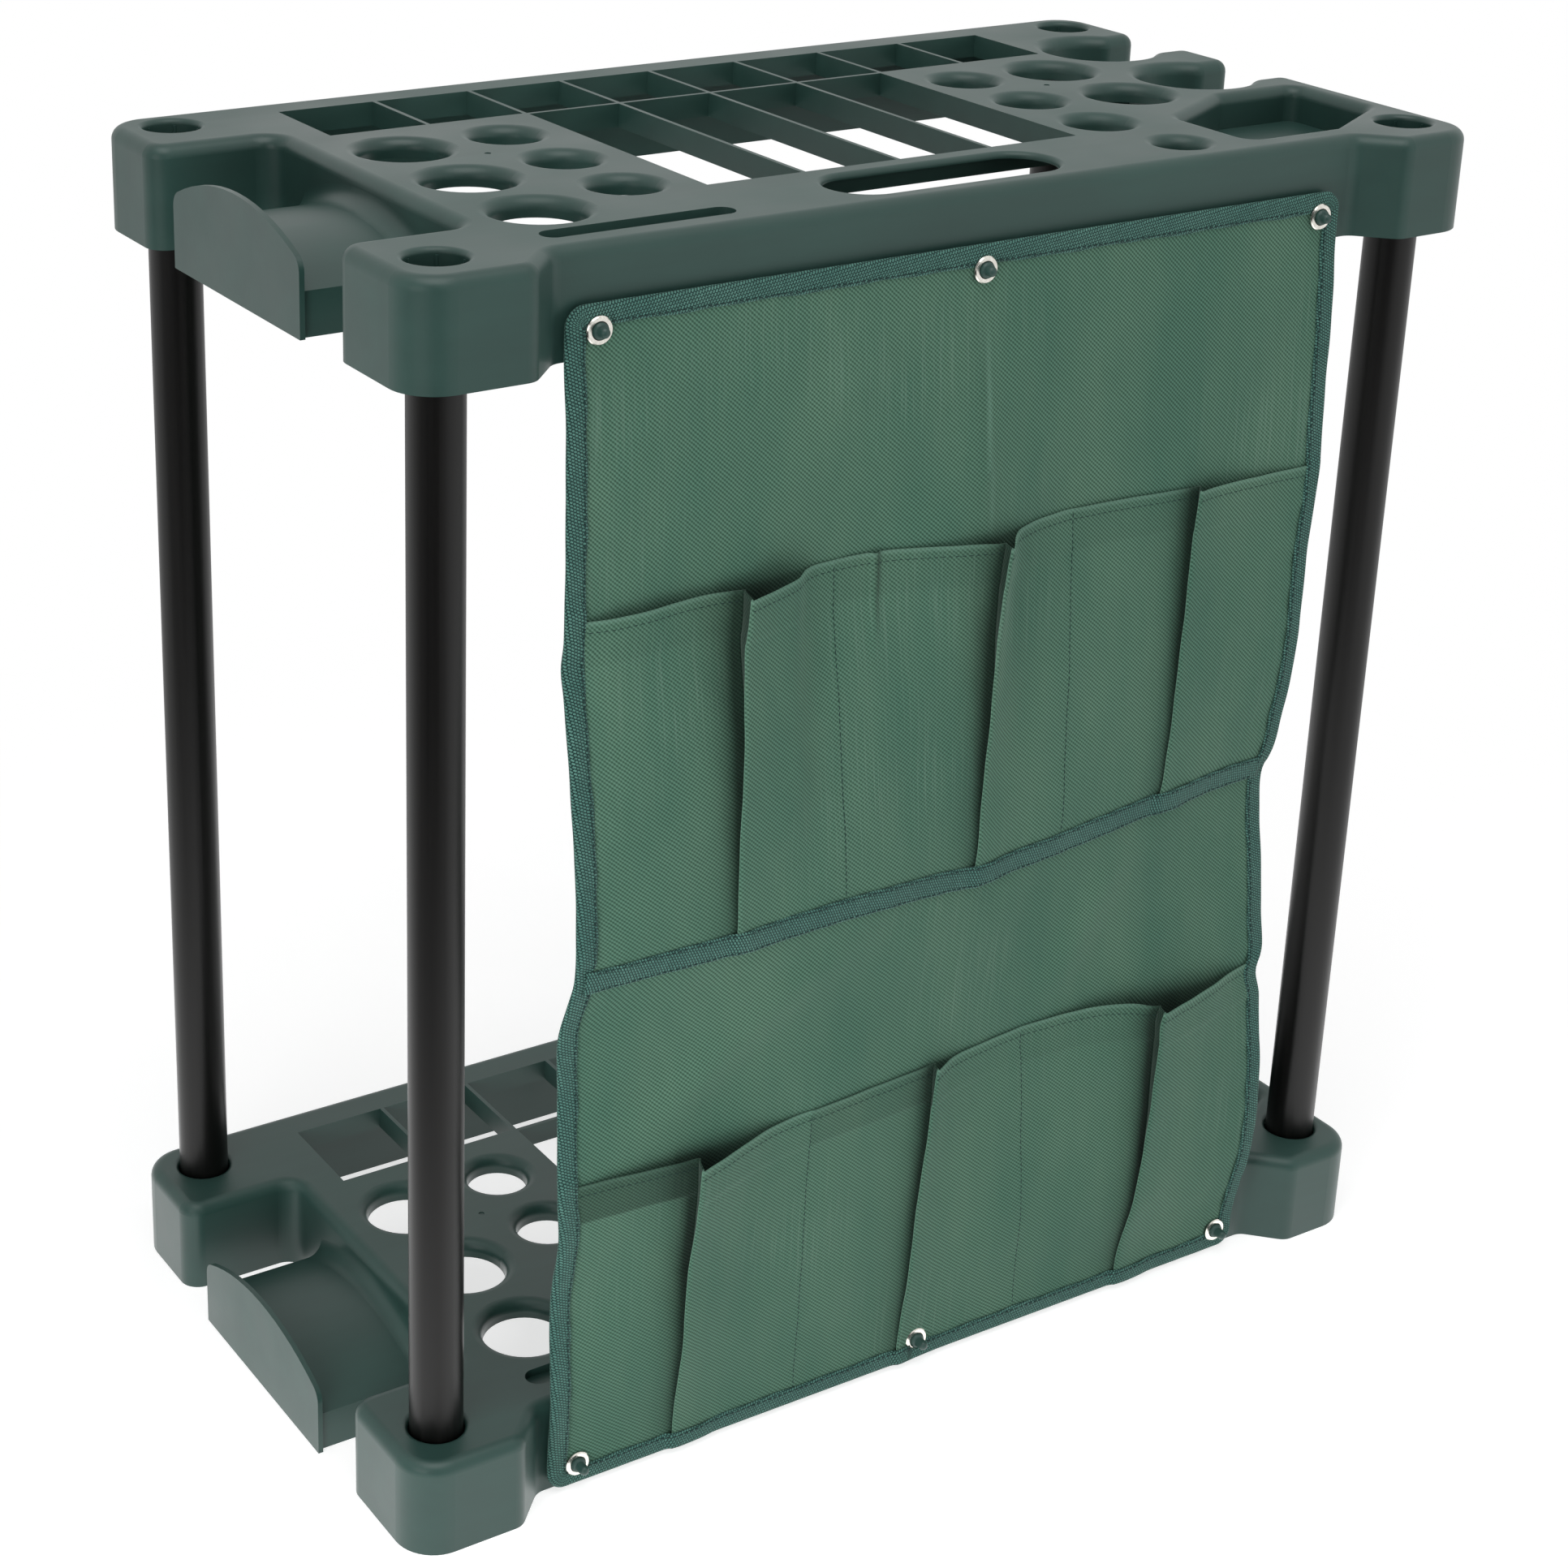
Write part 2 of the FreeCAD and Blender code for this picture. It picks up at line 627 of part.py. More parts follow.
# From the middle of the sockets to the middle of the whole, and the panel's place before the front skirt
SHIFT_ACROSS = "-1 * ((%s) + (%s) - flange_stand_out) / 2" % (LEFT, RIGHT)
BACKING_FRONT = SKIRT + " - cloth_gap - washer_thickness - tape_thickness - cloth_thickness"
SHIFT_DEPTH = "-1 * ((%s) + (%s) - cloth_thickness - pocket_bulge) / 2" % (BACK, BACKING_FRONT)
PANEL_FOOT = "rack_height - peg_drop - eyelet_inset"
PANEL_HEIGHT = "rack_pitch + 2 * eyelet_inset"


def place(thing, across, depth, lift):
    """Puts a sub-part at three expressions, measured from the middle of the sockets on the floor."""
    for axis, text in (("x", "%s + %s" % (across, SHIFT_ACROSS)),
                       ("y", "%s + %s" % (depth, SHIFT_DEPTH)), ("z", lift)):
        thing.setExpression("Placement.Base.%s" % axis, bound(text))


def copy_rack(rack, label, lift):
    """The other rack: the same moulding again, at its own height."""
    doc.recompute()
    twin = doc.addObject("Part::Feature", label)
    twin.Label = label
    shape = rack.Shape.copy()
    shape.Placement = FreeCAD.Placement()
    twin.Shape = shape
    place(twin, "0", "0", lift)
    return twin


def make_tube(label, column, row):
    """One steel tube, between the stop rings of the two racks."""
    body = doc.addObject("PartDesign::Body", label)
    body.Label = label
    ring = new_sketch(body, label + "_ring", "XY_Plane")
    add_circle(ring, "0", "0", "tube_diameter")
    add_circle(ring, "0", "0", "tube_diameter - 2 * tube_wall")
    pad(body, ring, label + "_wall", "rack_pitch - stop_ring_thickness - 2 * tube_end_gap")
    place(body, column, row, "rack_height / 2 + stop_ring_thickness / 2 + tube_end_gap")
    return body


def cell(alias):
    """A size read from the sheet."""
    return float(sheet.get(alias))


def cloth_feature(label, shape):
    """A sub-part of the panel, drawn from the front face of the backing and the panel's lower edge."""
    feature = doc.addObject("Part::Feature", label)
    feature.Label = label
    feature.Shape = shape
    place(feature, "0", BACKING_FRONT, PANEL_FOOT)
    return feature


def panel_outline(inset):
    """The outline of the panel, drawn in by inset, with the waist that the middle seam pulls in."""
    left = -cell("panel_left_reach") + inset
    right = cell("panel_right_reach") - inset
    low = inset
    high = number(PANEL_HEIGHT) - inset
    seam = cell("middle_tape_level")
    reach = cell("waist_reach")

    def point(x, z):
        return FreeCAD.Vector(x, 0, z)
    left_waist = Part.Arc(point(left, seam + reach), point(left + cell("waist_left"), seam),
                          point(left, seam - reach))
    right_waist = Part.Arc(point(right, seam - reach), point(right - cell("waist_right"), seam),
                           point(right, seam + reach))
    edges = [Part.LineSegment(point(left, low), point(right, low)),
             Part.LineSegment(point(right, low), point(right, seam - reach)),
             right_waist,
             Part.LineSegment(point(right, seam + reach), point(right, high)),
             Part.LineSegment(point(right, high), point(left, high)),
             Part.LineSegment(point(left, high), point(left, seam + reach)),
             left_waist,
             Part.LineSegment(point(left, seam - reach), point(left, low))]
    return Part.Wire([edge.toShape() for edge in edges])


def panel_slab(inset, back, front):
    """The panel's outline as a slab, from a distance behind the backing's front to one before it."""
    slab = Part.Face(panel_outline(inset)).extrude(FRONTWARD * (back + front))
    slab.translate(FreeCAD.Vector(0, back, 0))
    corner = cell("panel_corner_round") - inset
    if corner <= 0:
        return slab
    box = slab.BoundBox
    ends = [edge for edge in slab.Edges
            if edge.BoundBox.XLength < TOLERANCE and edge.BoundBox.ZLength < TOLERANCE
            and min(abs(edge.BoundBox.ZMin - box.ZMin), abs(edge.BoundBox.ZMin - box.ZMax)) < TOLERANCE]
    return slab.makeFillet(corner, ends)


def eyelet_places():
    """Column and level of each eyelet, by its name."""
    column = cell("peg_spacing")
    low = cell("eyelet_inset")
    high = number(PANEL_HEIGHT) - low
    return {level + "_" + side: (across, up)
            for level, up in (("top", high), ("bottom", low))
            for side, across in (("left", -column), ("middle", 0.0), ("right", column))}


def drill(shape, diameter, back, front):
    """Cuts a round hole at every eyelet, between two distances from the backing's front."""
    for across, up in eyelet_places().values():
        start = FreeCAD.Vector(across, back, up)
        shape = shape.cut(Part.makeCylinder(diameter / 2, back + front, start, FRONTWARD))
    return shape


def eyelet_hole():
    return cell("eyelet_bore") + 2 * cell("eyelet_wall") + 2 * cell("eyelet_play")


def make_backing():
    cloth = cell("cloth_thickness")
    return cloth_feature("backing_cloth", drill(panel_slab(0, cloth, 0), eyelet_hole(), cloth, 0))


def make_edge_bindings():
    """The folded tape on the four edges, mitred at the corners."""
    cloth = cell("cloth_thickness")
    tape = cell("tape_thickness")
    width = cell("tape_width")
    frame = panel_slab(-tape, cloth + tape, tape).cut(panel_slab(width, cloth + tape, tape))
    frame = drill(frame.cut(panel_slab(0, cloth, 0)), eyelet_hole(), cloth + tape, tape)
    box = frame.BoundBox
    spread = box.XLength
    corners = {"bottom_left": (box.XMin, box.ZMin), "bottom_right": (box.XMax, box.ZMin),
               "top_right": (box.XMax, box.ZMax), "top_left": (box.XMin, box.ZMax)}
    middle = (box.XMin + box.XMax) / 2
    sides = {"bottom_binding": ("bottom_left", "bottom_right", (middle, box.ZMin + spread / 2)),
             "top_binding": ("top_right", "top_left", (middle, box.ZMax - spread / 2))}
    features = []
    keepers = {}
    for label, (first, second, apex) in sides.items():
        points = [corners[first], corners[second], apex]
        points = [FreeCAD.Vector(x, box.YMax, z) for x, z in points]
        keeper = Part.Face(Part.makePolygon(points + points[:1])).extrude(FRONTWARD * box.YLength)
        keepers[label] = keeper
        features.append(cloth_feature(label, frame.common(keeper)))
    rest = frame
    for keeper in keepers.values():
        rest = rest.cut(keeper)
    for label, left in (("left_binding", box.XMin), ("right_binding", middle)):
        start = FreeCAD.Vector(left, box.YMin, box.ZMin)
        half = Part.makeBox(spread / 2, box.YLength, box.ZLength, start)
        features.append(cloth_feature(label, rest.common(half)))
    return features


def make_middle_binding():
    """The tape across the panel, over the seam under the upper pockets."""
    width = cell("tape_width")
    depth = cell("cloth_thickness") + cell("tape_thickness")
    start = FreeCAD.Vector(-cell("panel_left_reach"), -depth, cell("middle_tape_level") - width / 2)
    band = Part.makeBox(cell("panel_left_reach") + cell("panel_right_reach"), depth, width, start)
    return cloth_feature("middle_binding", band.common(panel_slab(width, 0, depth)))


def pocket_section(level, stops, pleats, bulge, step):
    """The closed section of a pocket strip at one level, with one pleat in each pocket."""
    cloth = cell("cloth_thickness")

    def chain(gap, shift):
        curves = []
        for left, pleat, right in zip(stops, pleats, stops[1:]):
            fold = pleat + shift
            marks = [(left, gap), (fold, bulge - step + gap), (fold, bulge + gap), (right, gap)]
            ends = [FreeCAD.Vector(x, -y, level) for x, y in marks]
            for start, end in ((0, 1), (2, 3)):
                middle = (ends[start] + ends[end]) / 2 + FRONTWARD * (BELLY_SHARE * bulge)
                curves.append(Part.Arc(ends[start], middle, ends[end]).toShape())
                if start == 0:
                    curves.append(Part.LineSegment(ends[1], ends[2]).toShape())
        return curves
    front = chain(cloth, 0)
    back = chain(0, cloth)
    corners = [[FreeCAD.Vector(x, 0, level), FreeCAD.Vector(x, -cloth, level)] for x in (stops[0], stops[-1])]
    closing = [Part.LineSegment(*ends).toShape() for ends in corners]
    return Part.Wire(closing[:1] + front + closing[1:] + back[::-1])


def make_pockets(label, row, foot, bottom_eyelets):
    """A strip of cloth sewn on the backing as three pockets, one knife pleat in each."""
    width = cell("tape_width")
    cloth = cell("cloth_thickness")
    stops = [width - cell("panel_left_reach"), cell(row + "_left_divider"), cell(row + "_right_divider"),
             cell("panel_right_reach") - width]
    pleats = [cell(row + "_%s_pleat" % name) for name in ("left", "middle", "right")]
    mouth = cell(row + "_mouth_level")
    low = pocket_section(foot, stops, pleats, cell("pocket_foot_bulge"), cell("pleat_foot_step"))
    high = pocket_section(mouth, stops, pleats, cell("pocket_bulge"), cell("pleat_step"))
    strip = Part.makeLoft([low, high], True, True)
    strip = strip.common(panel_slab(width, 0, 2 * cell("pocket_bulge")))
    if bottom_eyelets:
        strip = drill(strip, eyelet_hole(), 0, cell("pocket_bulge"))
        seat = cell("eyelet_diameter") + 2 * cell("eyelet_clearance")
        strip = drill(strip, seat, -cloth, 2 * cell("pocket_bulge"))
    return cloth_feature(label, strip)


def make_eyelet(name, across, up):
    """A rolled eyelet with its barrel, and the washer that it is clenched over."""
    bore = "eyelet_bore / 2"
    label = name + "_eyelet"
    body = doc.addObject("PartDesign::Body", label)
    body.Label = label
    profile = new_sketch(body, label + "_profile", "XY_Plane")
    tail = "cloth_thickness + tape_thickness + washer_thickness"
    add_polygon(profile, [(bore, "-1 * tape_thickness - eyelet_rise"),
                          ("eyelet_diameter / 2 - eyelet_rise / 2", "-1 * tape_thickness - eyelet_rise"),
                          ("eyelet_diameter / 2", "-1 * tape_thickness - eyelet_rise / 2"),
                          ("eyelet_diameter / 2", "-1 * tape_thickness"),
                          (bore + " + eyelet_wall", "-1 * tape_thickness"),
                          (bore + " + eyelet_wall", tail),
                          (bore, tail)])
    ring = body.newObject("PartDesign::Revolution", label + "_turn")
    ring.Profile = profile
    ring.ReferenceAxis = (plane(body, "Y_Axis"), [""])
    ring.Angle = 360
    place(body, across, BACKING_FRONT, PANEL_FOOT + " + " + up)
    label = name + "_eyelet_washer"
    washer = doc.addObject("PartDesign::Body", label)
    washer.Label = label
    rings = new_sketch(washer, label + "_rings", "XZ_Plane", "-1 * cloth_thickness - tape_thickness")
    add_circle(rings, "0", "0", "eyelet_diameter")
    add_circle(rings, "0", "0", "eyelet_bore + 2 * eyelet_wall + 2 * eyelet_play")
    pad(washer, rings, label + "_disc", "washer_thickness", reverse=True)
    place(washer, across, BACKING_FRONT, PANEL_FOOT + " + " + up)
    return [body, washer]


def write_parts(things):
    """Checks every object and writes each sub-part to its own file."""
    doc.recompute()
    for thing in doc.Objects:
        if "Invalid" in thing.State or "Error" in thing.State:
            raise RuntimeError(thing.Label + " failed: " + ", ".join(thing.State))
    for thing in things:
        if thing.Shape.isNull() or not thing.Shape.isValid():
            raise RuntimeError(thing.Label + " has no valid shape")
    whole = FreeCAD.BoundBox()
    for thing in things:
        box = thing.Shape.BoundBox
        whole.add(box)
        print("%-28s solids %d  volume %.0f" % (thing.Label, len(thing.Shape.Solids), thing.Shape.Volume))
        thing.Shape.exportStep("parts/%s.step" % thing.Label)
    print("box", whole)


top = make_rack("top_rack", "rack_pitch")
parts = [top, copy_rack(top, "bottom_rack", "0")]
for end, column in (("left", "-1"), ("right", "1")):
    for side, row in (("front", "-1"), ("back", "1")):
        parts.append(make_tube("%s_%s_tube" % (side, end), column + " * socket_spacing_length / 2",
                               row + " * socket_spacing_width / 2"))
parts.append(make_backing())
parts += make_edge_bindings()
parts.append(make_middle_binding())
parts.append(make_pockets("upper_pockets", "upper", cell("middle_tape_level") + cell("tape_width") / 2, False))
parts.append(make_pockets("lower_pockets", "lower", cell("tape_width"), True))
for level, up in (("top", PANEL_HEIGHT + " - eyelet_inset"), ("bottom", "eyelet_inset")):
    for side, across in (("left", "-1"), ("middle", "0"), ("right", "1")):
        parts += make_eyelet("%s_%s" % (level, side), across + " * peg_spacing", up)
write_parts(parts)
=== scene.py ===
"""Garden tool rack: finishes, hanging cloth panel with pleated pockets, and the studio round it."""
import bisect
import math

import bpy
from mathutils import Matrix, Vector


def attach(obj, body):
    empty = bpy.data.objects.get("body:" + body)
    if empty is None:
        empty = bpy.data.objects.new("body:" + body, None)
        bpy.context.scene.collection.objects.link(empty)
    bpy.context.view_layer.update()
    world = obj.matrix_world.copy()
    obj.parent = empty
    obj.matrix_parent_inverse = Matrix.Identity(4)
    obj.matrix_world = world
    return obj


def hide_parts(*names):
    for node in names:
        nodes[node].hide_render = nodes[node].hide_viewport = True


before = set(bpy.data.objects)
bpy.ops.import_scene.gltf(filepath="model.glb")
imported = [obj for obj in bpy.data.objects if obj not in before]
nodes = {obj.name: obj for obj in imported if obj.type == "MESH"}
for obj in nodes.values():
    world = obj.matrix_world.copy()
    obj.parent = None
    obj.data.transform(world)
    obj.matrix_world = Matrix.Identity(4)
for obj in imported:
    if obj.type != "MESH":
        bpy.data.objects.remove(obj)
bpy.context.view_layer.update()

MM = 0.001
PANEL_BODY = "pocket_panel"


# Numbers and curves

def clamp(value):
    """A number kept between 0 and 1."""
    return min(1.0, max(0.0, value))


def blend(low, high, share):
    """The number at a share of the way from low to high."""
    return low + (high - low) * share


def spread(low, high, count):
    """Evenly spaced places from low to high."""
    return [low + (high - low) * i / (count - 1) for i in range(count)]


def slope(points, k):
    """The slope of a smooth line at one of its points, which is level at both ends."""
    if k <= 0 or k >= len(points) - 1:
        return 0.0
    return (points[k + 1][1] - points[k - 1][1]) / (points[k + 1][0] - points[k - 1][0])


def curve_at(points, place):
    """The value at a place on a smooth line through (place, value) points."""
    if place <= points[0][0]:
        return points[0][1]
    if place >= points[-1][0]:
        return points[-1][1]
    i = bisect.bisect_right([p[0] for p in points], place) - 1
    x0, v0 = points[i]
    x1, v1 = points[i + 1]
    span = x1 - x0
    t = (place - x0) / span
    return ((2 * t ** 3 - 3 * t ** 2 + 1) * v0 + (t ** 3 - 2 * t ** 2 + t) * span * slope(points, i)
            + (3 * t ** 2 - 2 * t ** 3) * v1 + (t ** 3 - t ** 2) * span * slope(points, i + 1))


def lengths_along(points):
    """The length of a line of points, measured up to each of them."""
    lengths = [0.0]
    for a, b in zip(points, points[1:]):
        lengths.append(lengths[-1] + math.dist(a, b))
    return lengths


# Making pieces

def deselect():
    """Nothing stays selected, so the next operator acts on the new piece alone."""
    if bpy.context.mode != "OBJECT":
        bpy.ops.object.mode_set(mode="OBJECT")
    bpy.ops.object.select_all(action="DESELECT")


def finish_piece(piece, material, body=PANEL_BODY):
    """Material, slot and body of a new piece."""
    piece.data.materials.clear()
    piece.data.materials.append(material)
    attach(piece, body)
    return piece


def apply_modifiers(piece):
    """Applies the piece's modifiers in their order."""
    deselect()
    bpy.context.view_layer.objects.active = piece
    piece.select_set(True)
    for modifier in list(piece.modifiers):
        bpy.ops.object.modifier_apply(modifier=modifier.name)
    piece.select_set(False)


def smooth_faces(mesh):
    """Shades every face of a mesh smoothly."""
    mesh.polygons.foreach_set("use_smooth", [True] * len(mesh.polygons))


def add_rod(x, y, z, radius, length, sides):
    """A new cylinder that points to the front, from its middle and its sizes in mm."""
    deselect()
    bpy.ops.mesh.primitive_cylinder_add(vertices=sides, radius=radius * MM, depth=length * MM,
                                        location=(x * MM, y * MM, z * MM), rotation=(math.pi / 2, 0, 0))
    return bpy.context.object


def mesh_piece(name, points, faces, flat=()):
    """A new piece from points in mm and faces, with the flat place of each point in mm if it has one."""
    mesh = bpy.data.meshes.new(name)
    mesh.from_pydata([Vector(point) * MM for point in points], [], faces)
    if flat:
        layer = mesh.uv_layers.new(name="Flat")
        for loop in mesh.loops:
            u, v = flat[loop.vertex_index]
            layer.data[loop.index].uv = (u * MM, v * MM)
    smooth_faces(mesh)
    piece = bpy.data.objects.new(name, mesh)
    bpy.context.scene.collection.objects.link(piece)
    return piece


def grid_piece(name, rows, flat_rows, marks=None, closed=False):
    """A sheet through rows of points, with any marks for its material. A closed one ends where it began."""
    count, wide = len(rows), len(rows[0])
    faces = []
    for row in range(count if closed else count - 1):
        here = row * wide
        ahead = (row + 1) % count * wide
        faces += [(here + c, here + c + 1, ahead + c + 1, ahead + c) for c in range(wide - 1)]
    points = [point for row in rows for point in row]
    flat = [place for row in flat_rows for place in row]
    piece = mesh_piece(name, points, faces, flat)
    for mark, mark_rows in (marks or {}).items():
        layer = piece.data.attributes.new(mark, "FLOAT", "POINT")
        for i, value in enumerate(v for row in mark_rows for v in row):
            layer.data[i].value = value
    return piece


def thicken(piece, thickness, offset):
    """Gives a sheet its thickness."""
    solid = piece.modifiers.new("Thickness", "SOLIDIFY")
    solid.thickness = thickness * MM
    solid.offset = offset
    solid.use_rim = True
    apply_modifiers(piece)


def front_only(piece, mark):
    """Takes a mark off the back face of a sheet."""
    values = piece.data.attributes[mark].data
    for vertex in piece.data.vertices:
        if vertex.normal.y > 0.0:
            values[vertex.index].value = 0.0


# Colours, and thread sizes in mm. A pair of colours is the darker and the lighter one of a pattern.

PLASTIC = (0.019, 0.052, 0.044), (0.027, 0.066, 0.056)
PAINT = (0.0018, 0.0017, 0.0016), (0.0036, 0.0033, 0.003)
CLOTH = (0.018, 0.059, 0.036), (0.119, 0.243, 0.172)
TAPE = (0.003, 0.024, 0.021), (0.096, 0.238, 0.198)
THREAD = (0.004, 0.018, 0.016), (0.012, 0.045, 0.04)
NICKEL = (0.62, 0.6, 0.54), (0.83, 0.81, 0.75)
# Random cloudy tone: uneven dye, and painted soft shading of broad folds
DYE_AND_FOLD_SHADE = (0.82, 0.9, 0.91), (1.16, 1.08, 1.08)
WORN_THREADS = (0.17, 0.27, 0.21)
# Painted highlight colour, for fold crests and mouth edges
PAINTED_HIGHLIGHT = (0.2, 0.36, 0.28)
# Painted shade colour, for pleats, pocket mouths, hems and creases
DEEP_SHADE = (0.1, 0.15, 0.13)
SHEEN_TINT = (0.75, 1.0, 0.88)
BLACK = (0.0, 0.0, 0.0)
WHITE = (1.0, 1.0, 1.0)

CLOTH_PITCH = 1.5
CLOTH_TURN = 42.0
CROSS_THREAD = 0.42
TAPE_DASH, TAPE_ROW, TAPE_GAP = 1.7, 1.25, 0.34
TAPE_TURN = 62.0
THREAD_NUDGE = 0.6

# Sockets of Blender's Mix node by number, because their names repeat

MIX_AMOUNT, MIX_NUMBERS, MIX_COLOURS = 0, (2, 3), (6, 7)
MIXED_NUMBER, MIXED_COLOUR = 0, 2


# Materials. What feeds a node is a (node, output) pair.

def grey(value):
    """An even grey."""
    return (value, value, value)


def new_material(name, roughness, specular):
    """A material with its main shader, ready for a pattern."""
    material = bpy.data.materials.new(name)
    material.use_nodes = True
    tree = material.node_tree
    shader = tree.nodes["Principled BSDF"]
    shader.inputs["Roughness"].default_value = roughness
    shader.inputs["Specular IOR Level"].default_value = specular
    return material, tree, shader


def feed(tree, socket, value):
    """Links a (node, output) pair to a socket, or sets the socket to a number, a vector or a colour."""
    if isinstance(value, tuple) and len(value) == 2:
        source, output = value
        tree.links.new(source.outputs[output], socket)
    elif socket.type == "RGBA":
        socket.default_value = (*value, 1.0)
    else:
        socket.default_value = value


def node(tree, kind, output, *inputs, **named):
    """A new node as a (node, output) pair. Its inputs come in order or by name, its settings by name."""
    made = tree.nodes.new("ShaderNode" + kind)
    sockets = list(enumerate(inputs))
    for key, value in named.items():
        if hasattr(made, key):
            setattr(made, key, value)
        else:
            sockets.append((key.replace("_", " "), value))
    for socket, value in sockets:
        feed(tree, made.inputs[socket], value)
    return made, output


def stretched(tree, place, scale):
    """Coordinates scaled along each axis."""
    return node(tree, "Mapping", "Vector", Vector=place, Scale=scale)


def noise(tree, place, **sizes):
    """A cloudy pattern on coordinates."""
    return node(tree, "TexNoise", "Fac", Vector=place, **sizes)


def colour_run(tree, source, places, colours):
    """A colour that runs from one to another between two places of a source."""
    ramp, output = node(tree, "ValToRGB", "Color", Fac=source)
    for element, place, colour in zip(ramp.color_ramp.elements, places, colours):
        element.position = place
        element.color = (*colour, 1.0)
    return ramp, output


def blend_colour(tree, kind, amount, first, second):
    """Two colours mixed. Each is a colour or a (node, output) pair, and the amount a number or a pair."""
    mix = tree.nodes.new("ShaderNodeMix")
    mix.data_type = "RGBA"
    mix.blend_type = kind
    for socket, value in zip((MIX_AMOUNT, *MIX_COLOURS), (amount, first, second)):
        feed(tree, mix.inputs[socket], value)
    return mix, MIXED_COLOUR


def vary_roughness(tree, shader, source, places, values):
    """Lets the roughness follow a source from one value to another between two places."""
    varied = node(tree, "MapRange", "Result", Value=source, From_Min=places[0], From_Max=places[1],
                  To_Min=values[0], To_Max=values[1])
    feed(tree, shader.inputs["Roughness"], varied)


def add_bump(tree, shader, height, strength, distance):
    """A bump from a height, chained after any bump that is there."""
    bump = node(tree, "Bump", "Normal", Height=height, Strength=strength, Distance=distance)
    for before in list(shader.inputs["Normal"].links):
        feed(tree, bump[0].inputs["Normal"], (before.from_node, "Normal"))
    feed(tree, shader.inputs["Normal"], bump)


def moulded_plastic():
    """Dark green moulded plastic with a fine spark-eroded grain and faint flow marks."""
    material, tree, shader = new_material("moulded_plastic", 0.42, 0.42)
    place = node(tree, "TexCoord", "Object")
    cloud = noise(tree, place, Scale=9.0, Detail=3.0, Roughness=0.55)
    flow = noise(tree, stretched(tree, place, (6.0, 40.0, 40.0)), Scale=1.2, Detail=4.0, Roughness=0.6)
    grain = noise(tree, place, Scale=1500.0, Detail=2.0, Roughness=0.5)
    base = colour_run(tree, cloud, (0.3, 0.7), PLASTIC)
    marks = colour_run(tree, flow, (0.35, 0.75), (grey(0.86), grey(1.08)))
    feed(tree, shader.inputs["Base Color"], blend_colour(tree, "MULTIPLY", 0.8, base, marks))
    vary_roughness(tree, shader, cloud, (0.3, 0.7), (0.36, 0.5))
    add_bump(tree, shader, grain, 0.12, 0.0002)
    add_bump(tree, shader, flow, 0.1, 0.0006)
    return material


def tube_paint():
    """Black satin paint on steel tube, with faint lines along the drawn tube."""
    material, tree, shader = new_material("tube_paint", 0.36, 0.3)
    place = node(tree, "TexCoord", "Object")
    lines = noise(tree, stretched(tree, place, (260.0, 260.0, 2.0)), Scale=1.0, Detail=3.0, Roughness=0.6)
    specks = noise(tree, place, Scale=1400.0, Detail=1.0)
    feed(tree, shader.inputs["Base Color"], colour_run(tree, lines, (0.3, 0.75), PAINT))
    vary_roughness(tree, shader, lines, (0.3, 0.7), (0.32, 0.44))
    add_bump(tree, shader, specks, 0.15, 0.0001)
    return material


def sewing_thread():
    """Dark sewing thread with its twist."""
    material, tree, shader = new_material("sewing_thread", 0.6, 0.3)
    place = node(tree, "TexCoord", "Object")
    twist = node(tree, "TexWave", "Fac", Vector=place, Scale=900.0, Distortion=2.0, Detail=1.0,
                 bands_direction="DIAGONAL")
    feed(tree, shader.inputs["Base Color"], colour_run(tree, twist, (0.2, 0.9), THREAD))
    add_bump(tree, shader, twist, 0.3, 0.0001)
    return material


def bright_nickel():
    """Bright plated metal with faint handling marks."""
    material, tree, shader = new_material("bright_nickel", 0.2, 0.5)
    shader.inputs["Metallic"].default_value = 1.0
    place = node(tree, "TexCoord", "Object")
    marks = noise(tree, place, Scale=700.0, Detail=4.0, Roughness=0.65)
    feed(tree, shader.inputs["Base Color"], colour_run(tree, marks, (0.3, 0.7), NICKEL))
    vary_roughness(tree, shader, marks, (0.3, 0.75), (0.12, 0.32))
    add_bump(tree, shader, marks, 0.08, 0.0002)
    return material


def cloth_threads(tree, place):
    """Slanted rows of thread, crossed by a fainter set at the same pitch."""
    split = tree.nodes.new("ShaderNodeSeparateXYZ")
    feed(tree, split.inputs["Vector"], place)
    waves = []
    for axis, depth in (("Y", 1.0), ("X", CROSS_THREAD)):
        angle = node(tree, "Math", "Value", (split, axis), 2 * math.pi / CLOTH_PITCH, operation="MULTIPLY")
        wave = node(tree, "Math", "Value", angle, operation="SINE")
        waves.append(node(tree, "Math", "Value", wave, depth, operation="MULTIPLY"))
    both = node(tree, "Math", "Value", *waves, operation="ADD")
    deepest = 1.0 + CROSS_THREAD
    return node(tree, "MapRange", "Result", Value=both, From_Min=-deepest, From_Max=deepest)


def tape_threads(tree, place):
    """Short slanted thread dashes in rows, with dark gaps."""
    return node(tree, "TexBrick", "Color", Vector=place, Color1=WHITE, Color2=grey(0.72), Mortar=BLACK,
                offset=0.5, Scale=1.0, Mortar_Size=TAPE_GAP, Mortar_Smooth=0.7, Bias=0.1,
                Brick_Width=TAPE_DASH, Row_Height=TAPE_ROW)


def thread_places(tree, flat, weave_turn):
    """The flat map in mm, turned to the slant of the weave and nudged so that no thread is quite straight."""
    wobble = node(tree, "TexNoise", "Color", Vector=flat, Scale=160.0, Detail=2.0)
    nudge = (THREAD_NUDGE * MM, THREAD_NUDGE * MM, 0.0)
    nudged = node(tree, "VectorMath", "Vector", wobble, nudge, flat, operation="MULTIPLY_ADD")
    return node(tree, "Mapping", "Vector", Vector=nudged, Rotation=(0.0, 0.0, math.radians(weave_turn)),
                Scale=(1 / MM, 1 / MM, 1 / MM))


